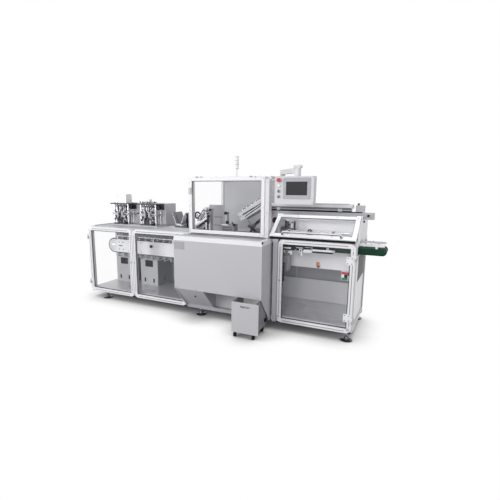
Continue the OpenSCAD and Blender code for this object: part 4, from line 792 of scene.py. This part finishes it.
# hood: end caps, blank plate, screws, plug
hoodSet = {
    "plates": [
        ((1519.5, 1526.5), (-247, -220), (922, 944), black, 1),
        ((2527.5, 2534.5), (-247, -220), (922, 944), black, 1),
        ((1536, 1660), (-246.6, -243.4), (806, 884), finishes["blankPlate"], 1),
        ((2519, 2531), (-120, -70), (112, 144), black, 2)],
    "plateScrews": {"x": (1544, 1652), "y": [-246.4], "z": (814, 876), "r": 3},
    "railScrews": {"x": (1560, 1800, 2040, 2280, 2500), "y": [-243.8], "z": [392], "r": 4},
    "plug": {"spot": (1737, -160, 285), "direction": (0, -0.7, -0.7), "profile": [(9, 0), (9, 6), (6, 9)]}}
hood = Shape("hood_fittings")
hood.boxes(hoodSet["plates"])
hood.screws(**hoodSet["plateScrews"])
hood.screws(**hoodSet["railScrews"])
hood.turned(**hoodSet["plug"], finish=black)
hood.done()

# guard: dark strip under the door as painted shade in the gap there, lock on the post, screws
guardSet = {
    "plates": [
        ((1575, 2450), (4, 34), (949.4, 953.2), rubber, 0.5),
        ((1572, 1606), (-12, 2), (1376, 1446), grey, 3)],
    "leftScrews": {"x": [1585], "y": [0.4], "z": (990, 1200, 1500), "r": 4.5},
    "rightScrews": {"x": [2480], "y": [0.3], "z": (990, 1200, 1500), "r": 4.5},
    "topScrews": {"x": (1640, 1900, 2150, 2400), "y": [20], "z": [1559.6], "r": 4.5}}
guard = Shape("guard_fittings")
guard.boxes(guardSet["plates"])
guard.screws(**guardSet["leftScrews"])
guard.screws(**guardSet["rightScrews"])
guard.screws(**guardSet["topScrews"], direction=up)
guard.done()

# magazine: beam face with dark lines, rods, sensors, clamp disc and screws
magazineSet = {
    "plates": [
        ((2352, 3228), (394, 424), (1205.5, 1241.5), grey, 1),
        ((2354, 3226), (391, 395), (1211, 1217), black, 0.5),
        ((2354, 3226), (391, 395), (1231, 1237), black, 0.5),
        ((2352, 3233), (321.5, 325.2), (1244, 1251), black, 0.5),
        ((2352, 3330), (377, 380.3), (1202, 1212), deep, 0.5)],
    "sensors": [((x - 8, x + 8), (368, 380.4), (1166, 1186), finishes["orange"], 2) for x in (2410, 2688)],
    "rod": {"x": (2440, 3200), "y": (338, 472), "z": 1282.6, "r": 2.6},
    "pin": {"x": (2450, 2700, 2950, 3190), "z": (1279, 1285), "r": 4},
    "disc": {
        "spot": (3244, 380.4, 1162), "profile": [(26, 0), (26, 6), (22, 9), (8, 9), (7, 5)],
        "finish": grey, "sides": 24},
    "knob": {
        "spot": (3386, 380.4, 1177), "profile": [(12, 0), (12, 8), (9, 11), (5, 11), (4, 6)],
        "finish": black},
    "beamScrews": {"x": (2480, 2640, 2800, 2960, 3120), "y": [380.3], "z": [1196], "r": 5},
    "trayScrews": {"x": (2480, 2640, 2800, 2960, 3120), "y": [325.3], "z": [1248], "r": 4}}
magazine = Shape("magazine_fittings")
rod, pin = magazineSet["rod"], magazineSet["pin"]
magazine.boxes(magazineSet["plates"] + magazineSet["sensors"])
for y in rod["y"]:
    magazine.tube([(x, y, rod["z"]) for x in rod["x"]], rod["r"], grey, 10)
    for x in pin["x"]:
        magazine.tube([(x, y, z) for z in pin["z"]], pin["r"], bolt, 10)
magazine.turned(**magazineSet["disc"], direction=front)
magazine.turned(**magazineSet["knob"], direction=front)
magazine.screws(**magazineSet["beamScrews"])
magazine.screws(**magazineSet["trayScrews"])
magazine.done()

# carton feeder: screws, leaning bars with pivots, knobs, suction cups on the inclined rails
cartonSet = {
    "screws": {"x": (1868, 1905, 1942, 1980), "y": [260.3], "z": (962, 1026), "r": 5},
    "cups": {
        "x": (2100, 2150, 2200, 2250, 2285), "y": (265, 320, 375), "slope": 32, "foot": (2338, 1241),
        "lift": 92, "sink": 1, "direction": (-0.53, 0, 0.85), "marked": (2285, 265),
        "profile": [(4, 0), (4, 12), (9, 20), (10, 24)]},
    "bars": [
        ((2105, 1156), (2318, 1283), 256.4, 3.4, 4, deep, 0.8),
        ((2131, 1133), (2318, 1260), 256.4, 3.4, 4, deep, 0.8),
        ((2158, 1107), (2328, 1202), 256.4, 3.4, 4, deep, 0.8),
        ((2232, 1034), (2326, 1112), 236, 16, 15, deep, 3),
        ((2182, 1040), (2284, 962), 236, 16, 13, deep, 3),
        ((2196, 962), (2262, 1044), 236, 16, 9, deep, 3)],
    "pivots": {
        "spots": ((2240, 1040, 22), (2318, 1104, 18), (2190, 1034, 17), (2276, 968, 19)), "y": 252,
        "profile": ((1, 0), (1, 18), (0.7, 22), (0.4, 22), (0.35, 16)), "finish": dark},
    "knobs": {
        "spots": ((1921, 1062, 19), (2004, 1035, 16), (1901, 1163, 17)), "y": 262,
        "profile": ((0.5, 0), (0.5, 8), (1, 9), (1, 26), (0.8, 30)), "finish": deep},
    "plates": [
        ((1846, 1930), (238, 262), (1026, 1038), pale, 2),
        ((1852, 1976), (256.6, 260.4), (978, 983), dark, 0.6),
        ((1852, 1976), (256.6, 260.4), (1000, 1005), dark, 0.6)],
    "rod": [(1901, 250, 1036), (1901, 250, 1160)], "rodRadius": 6}
carton = Shape("carton_fittings")
carton.screws(**cartonSet["screws"])
cups = cartonSet["cups"]
slope, (footX, footZ) = math.radians(cups["slope"]), cups["foot"]
for x, y in product(cups["x"], cups["y"]):
    z = footZ + (x - footX) * math.tan(slope) + cups["lift"] / math.cos(slope) - cups["sink"]
    finish = finishes["orange"] if (x, y) == cups["marked"] else steel
    carton.turned((x, y, z), cups["direction"], cups["profile"], finish, 12)
for row in cartonSet["bars"]:
    carton.bar(*row)
for rounds in (cartonSet["pivots"], cartonSet["knobs"]):
    for x, z, r in rounds["spots"]:
        profile = [(r * share, h) for share, h in rounds["profile"]]
        carton.turned((x, rounds["y"], z), front, profile, rounds["finish"])
carton.boxes(cartonSet["plates"])
carton.tube(cartonSet["rod"], cartonSet["rodRadius"], grey, 10)
carton.done()

# leaflet unit: leaning guide plates with rollers, a round folder bar, wheels, a rack and a back plate
leafletSet = {
    "feed": {
        "spot": (1596, 78, 1016), "lean": -34,
        "plates": [((0, 182), (0, 24), (-10, 10), pale, 2), ((6, 176), (2, 22), (-22, -13), dark, 1)],
        "rollers": {
            "x": (24, 66, 108, 150), "y": [-3], "z": [-24], "profile": [(12, 0), (12, 26)],
            "finish": deep, "sides": 16}},
    "guides": {
        "spot": (1606, 84, 1084), "lean": -52, "spans": ((30, 160), (0, 176), (22, 182), (60, 170)),
        "pitch": 19, "y": (0, 26), "thick": 6, "finishes": (bucket, pale)},
    "guideRoller": {"inset": 14, "y": -4, "drop": 7, "profile": [(7, 0), (7, 34)]},
    "folder": {
        "middle": (1628, 88, 1142), "reach": (30, 34), "start": 0.5, "sweep": 4.7, "steps": 14, "r": 9},
    "hub": {"spot": (1628, 98, 1142), "profile": [(14, 0), (14, 12), (9, 15)], "finish": steel},
    "wheels": {
        "spot": (1604, 98, 962), "count": 5, "pitch": 30, "step": 8,
        "profile": [(13, 0), (13, 22), (9, 26)]},
    "plates": [
        ((1594, 1732), (98, 106), (950, 990), dark, 2), ((1730, 1742), (84, 98), (950, 1232), pale, 2),
        ((1752, 1766), (90, 98), (950, 1140), deep, 1),
        ((1604, 1786), (398, 402), (950, 1246), finishes["stationGrey"], 1),
        ((1640, 1782), (394, 398.4), (1004, 1010), dark, 1),
        ((1640, 1782), (394, 398.4), (1100, 1106), dark, 1)],
    "rack": [((1748, 1768), (82, 91), (z, z + 8), deep, 1) for z in range(956, 1136, 15)]}
leaflet = Shape("leaflet_guides")
feed, guides, roller = leafletSet["feed"], leafletSet["guides"], leafletSet["guideRoller"]
folder, wheels = leafletSet["folder"], leafletSet["wheels"]
lean, tall = (tilted(rows["spot"], rows["lean"], "Y") for rows in (feed, guides))
leaflet.boxes(feed["plates"], turn=lean)
leaflet.studs(**feed["rollers"], direction=back, turn=lean)
for k, (start, end) in enumerate(guides["spans"]):
    z = -k * guides["pitch"]
    leaflet.box((start, end), guides["y"], (z, z + guides["thick"]), guides["finishes"][k % 2], 1, tall)
    spot = (end - roller["inset"], roller["y"], z - roller["drop"])
    leaflet.turned(spot, back, roller["profile"], deep, 12, tall)
(x, y, z), (reachX, reachZ) = folder["middle"], folder["reach"]
angles = [t / folder["steps"] * folder["sweep"] + folder["start"] for t in range(folder["steps"] + 1)]
leaflet.tube([(x + reachX * math.cos(a), y, z + reachZ * math.sin(a)) for a in angles], folder["r"], deep, 10)
leaflet.turned(**leafletSet["hub"], direction=front)
x, y, z = wheels["spot"]
for k in range(wheels["count"]):
    spot = (x + k * wheels["pitch"], y, z + k % 2 * wheels["step"])
    leaflet.turned(spot, front, wheels["profile"], deep, 16)
leaflet.boxes(leafletSet["plates"] + leafletSet["rack"])
leaflet.done()

# under the sloped cover: adjusting rods with clamps, a dark side plate, upright bars with knobs, a hook
rodSet = {
    "rods": ((150, 985), (205, 1012)), "x": (2560, 3250), "r": 7,
    "clamps": (2640, 2860, 3080), "clamp": [((0, 34), (-14, 14), (-22, 16), grey, 2)],
    "clampKnob": {"spot": (17, -14), "profile": [(9, 0), (9, 12), (6, 14)]},
    "plates": [
        ((2584, 2596), (120, 240), (952, 1058), dark, 2), ((2600, 2716), (238, 252), (1020, 1034), dark, 2)],
    "bars": [
        ((2590, 2612), (250, 264), (950, 1108), deep, 2), ((2616, 2632), (250, 264), (950, 1102), deep, 2),
        ((2638, 2647), (250, 264), (950, 1086), dark, 2), ((2660, 2677), (250, 264), (950, 1110), pale, 2),
        ((2682, 2700), (250, 264), (950, 1106), deep, 2)],
    "barKnob": {"drop": 16, "profile": [(8, 0), (8, 10), (6, 12)]},
    "hook": [(2872, 100, 952), (2874, 98, 1030), (2890, 94, 1046), (2912, 92, 1040)], "hookRadius": 6}
rods = Shape("cover_rods")
knob, barKnob = rodSet["clampKnob"], rodSet["barKnob"]
for y, z in rodSet["rods"]:
    rods.tube([(x, y, z) for x in rodSet["x"]], rodSet["r"], steel, 12)
    for x in rodSet["clamps"]:
        rods.boxes(rodSet["clamp"], (x, y, z))
        rods.turned((x + knob["spot"][0], y + knob["spot"][1], z), front, knob["profile"], black, 14)
rods.boxes(rodSet["plates"] + rodSet["bars"])
for bar in rodSet["bars"]:
    x, y, z = bar[:3]
    rods.turned((sum(x) / 2, y[0], z[1] - barKnob["drop"]), front, barKnob["profile"], black, 14)
rods.tube(rodSet["hook"], rodSet["hookRadius"], black, 10, 4)
rods.done()
print("centre details added")

# operator panel: rings round the buttons, screws, collar under the arm
panelSet = {
    "rings": {
        "x": [2598], "y": [5.4], "z": (1362.5, 1414.5, 1466.5, 1518.5),
        "profile": [(17, 0), (17, 3), (14.5, 4.5)], "sides": 20},
    "screws": {"x": (2566, 2924), "y": [5.3], "z": (1301, 1544), "r": 4},
    "collar": {"x": [2764], "y": [52], "z": [1653.5], "profile": [(24, 0), (24, 5), (20, 8)], "sides": 24},
    "topScrews": {"x": (2734, 2794), "y": (22, 82), "z": [1653.5], "r": 4}}
panel = Shape("panel_fittings", "operator_panel")
panel.studs(**panelSet["rings"])
panel.screws(**panelSet["screws"])
panel.studs(**panelSet["collar"], direction=up)
panel.screws(**panelSet["topScrews"], direction=up)
panel.done()

# outfeed module: sensors, coloured blocks, lower sheet, closing station's bars, vent ribs, buffers
stationBars = [  # start, end, bottom, top, front
    (2614, 2750, 834, 886, 72, deep), (2620, 2717, 850, 863, 66, pale), (2632, 2654, 806, 828, 70, pale),
    (2690, 2712, 806, 828, 70, pale), (2768, 2841, 838, 888, 72, deep), (2770, 2839, 861, 871, 70, grey),
    (2801, 2808, 822, 856, 66, pale), (2823, 2830, 822, 856, 66, pale), (2801, 2830, 849, 856, 65.5, pale),
    (2853, 2918, 856, 888, 72, deep), (2855, 2916, 870, 876, 70, grey), (2843, 2925, 822, 851, 70, pale),
    (2846, 2922, 834, 838, 69.4, grey), (2930, 3060, 861, 888, 72, deep), (2930, 3124, 842, 860, 70, pale),
    (2930, 3124, 826, 841, 72, deep)]
outfeedSet = {
    "blocks": [
        ((2898, 2930), (396, 420.5), (628, 668), finishes["orange"], 3),
        ((2908, 2934), (392, 420.5), (612, 632), finishes["rust"], 3),
        ((3178, 3262), (300, 322), (530, 622), finishes["pale_plastic"], 2),
        ((3180, 3258), (294, 301), (592, 616), finishes["blockRed"], 2),
        ((3182, 3240), (295, 301), (534, 556), finishes["blockGreen"], 2),
        ((3206, 3238), (294, 301), (557, 590), black, 2),
        ((3242, 3260), (292, 301), (580, 612), black, 2),
        ((3206, 3226), (322, 420), (560, 600), bucket, 1)],
    "plates": [
        ((2340, 3314), (742, 747.4), (136, 390), finishes["lowerSheet"], 1),
        ((2618, 2654), (64, 80.4), (505, 700), finishes["holeShadeAndBracket"], 4),
        ((3318, 3327.5), (276, 754), (524, 796), finishes["filter"], 1)],
    "bars": [((x0, x1), (y, 80.4), (z0, z1), finish, 1) for x0, x1, z0, z1, y, finish in stationBars],
    "ribs": [
        ((3333.6, 3335.6), (281, 749), (541.4 + k * 19, 548.6 + k * 19), finishes["louvreAndUnderShade"], 0.4)
        for k in range(13)],
    "barScrews": {
        "x": (2640, 2720, 2800, 2880, 2960), "y": [149.6], "z": [881],
        "profile": [(6, 0), (6, 5), (4, 7)], "sides": 12},
    "posts": {
        "x": (2700, 2806), "y": [130], "z": [780], "profile": [(14, 0), (14, 54), (11, 56)],
        "finish": steel},
    "plateScrews": {"x": (2630, 2650), "y": [149.7], "z": (630, 680, 730), "r": 5},
    "buffers": ((3344.6, 377, 1121), (3344.6, 629, 900)), "buffer": [(10, 0), (10, 10), (7, 14)],
    "guideScrews": {"x": (3150, 3300, 3450), "y": (196, 404), "z": [928.6], "r": 5}}
outfeed = Shape("outfeed_fittings")
for rows in ("blocks", "plates", "bars", "ribs"):
    outfeed.boxes(outfeedSet[rows])
outfeed.studs(**outfeedSet["barScrews"])
outfeed.studs(**outfeedSet["posts"], direction=up)
outfeed.screws(**outfeedSet["plateScrews"])
for spot in outfeedSet["buffers"]:
    outfeed.turned(spot, right, outfeedSet["buffer"], black, 14)
outfeed.screws(**outfeedSet["guideScrews"], direction=up)
outfeed.done()
print("outfeed details added")

# cart: lip behind the grip, corner bolts
cartSet = {
    "lip": [(2372, -356.5, 314), (2372, -352, 322), (2451, -352, 322), (2451, -356.5, 314)], "lipRadius": 3,
    "bolts": {
        "x": (2296, 2492), "y": (-334, -101), "z": [66], "profile": [(7, 0), (7, 4), (5, 6)], "sides": 6}}
cartTrim = Shape("cart_fittings", "reject_cart")
cartTrim.tube(cartSet["lip"], cartSet["lipRadius"], grey)
cartTrim.studs(**cartSet["bolts"], direction=up)
cartTrim.done()

# feet: lock nuts above and under the plates, rubber pads
footSet = {
    "x": (230, 1675, 3295), "y": (65, 745),
    "parts": [
        (64, [(21, 0), (21, 14), (18, 17)], bolt, 6), (28, [(17, 0), (17, 8), (14, 10)], bolt, 6),
        (0.5, [(56.5, 0), (56.5, 4), (55.5, 5)], rubber, 28)]}
feet = Shape("foot_nuts")
for z, profile, finish, sides in footSet["parts"]:
    feet.studs(footSet["x"], footSet["y"], [z], profile, up, finish, sides)
feet.done()

# tower: rings between its lamp sections
towerSet = {
    "x": [1783], "y": [777], "z": (1672, 1722, 1772, 1818), "profile": [(24, 0), (24, 3), (22, 4)],
    "finish": finishes["screen_bezel"], "sides": 28}
tower = Shape("tower_rings")
tower.studs(**towerSet, direction=up)
tower.done()
print("fittings added")

# camera at the photograph's place, solved from its straight edges
cameraSet = {
    "spot": (1.9779, -3.6637, 1.4616), "yaw": 27.065, "pitch": -10.379, "lens": 26.48, "sensor": 36.0,
    "shift": (0.05096, 0.00707)}
lens = bpy.data.cameras.new("camera")
lens.lens, lens.sensor_width, lens.sensor_height = cameraSet["lens"], cameraSet["sensor"], cameraSet["sensor"]
lens.sensor_fit = "HORIZONTAL"
lens.shift_x, lens.shift_y = cameraSet["shift"]
camera = bpy.data.objects.new("camera", lens)
camera.location = cameraSet["spot"]
camera.rotation_euler = (math.radians(90 + cameraSet["pitch"]), 0, math.radians(cameraSet["yaw"]))
bpy.context.collection.objects.link(camera)
bpy.context.scene.camera = camera

# grey floor where ambient occlusion finds the machine near, a painted contact shade over the lamps' own
# shadows, fading to white to the eye further off; white world to the eye, soft lamps
studioSet = {
    "floor": 60.0, "contactShadeTones": (srgb(158, 158, 160), srgb(166, 166, 168)), "rough": 0.7, "grain": 0.6,
    "reach": 0.34, "shadow": (0.3, 0.9), "shadowSamples": 12,
    "white": (1, 1, 1, 1), "ambient": 0.36, "seen": 1.0,
    # spot, aim, size, watts
    "lamps": [
        ((-3.4, -5.6, 2.6), (0.0, 0, 0.6), 3.4, 240.0), ((-0.5, 1.5, 5.0), (0, 0, 0.5), 5.0, 135.0),
        ((1.5, -4.8, 2.0), (1.1, 0, 0.3), 1.8, 75.0), ((5.4, -1.6, 1.7), (1.5, 0, 0.5), 2.4, 55.0),
        ((-4.6, -1.2, 1.2), (-1.6, 0, 0.3), 1.8, 32.0)]}
half = studioSet["floor"] / 2
floorMesh = bpy.data.meshes.new("floor")
corners = [(-half, -half, 0), (half, -half, 0), (half, half, 0), (-half, half, 0)]
floorMesh.from_pydata(corners, [], [(0, 1, 2, 3)])
floor = bpy.data.objects.new("floor", floorMesh)
bpy.context.collection.objects.link(floor)
floorPaint = newPaint("floorWhite", rough=studioSet["rough"])
hidden = floorPaint.node("ShaderNodeAmbientOcclusion", {"samples": studioSet["shadowSamples"]},
                         {"Distance": studioSet["reach"]}, out="AO")
fade = floorPaint.spread(hidden, *studioSet["shadow"]) * floorPaint.seen()
floorPaint.set("Base Color", floorPaint.blend(floorPaint.noise(studioSet["grain"]), *studioSet["contactShadeTones"]))
glow = floorPaint.node("ShaderNodeEmission", {}, {"Color": studioSet["white"], "Strength": 1.0})
plain = Socket(floorPaint, floorPaint.shader.outputs[0])
mixed = floorPaint.node("ShaderNodeMixShader", {}, {0: fade, 1: plain, 2: glow})
floorPaint.feed(floorPaint.tree.nodes["Material Output"].inputs["Surface"], mixed)
floorMesh.materials.append(floorPaint.material)

world = bpy.data.worlds.new("studio")
bpy.context.scene.world = world
sky = Paint(world)
sky.set("Color", studioSet["white"])
sky.set("Strength", sky.spread(sky.seen(), 0.0, 1.0, studioSet["ambient"], studioSet["seen"]))
for number, (spot, aim, size, watts) in enumerate(studioSet["lamps"]):
    lamp = bpy.data.lights.new("softbox%d" % number, "AREA")
    lamp.size, lamp.energy = size, watts
    holder = bpy.data.objects.new("softbox%d" % number, lamp)
    holder.location = spot
    holder.rotation_euler = (Vector(aim) - Vector(spot)).to_track_quat("-Z", "Y").to_euler()
    bpy.context.collection.objects.link(holder)
bpy.context.scene.view_settings.view_transform = "Standard"
print("studio set")
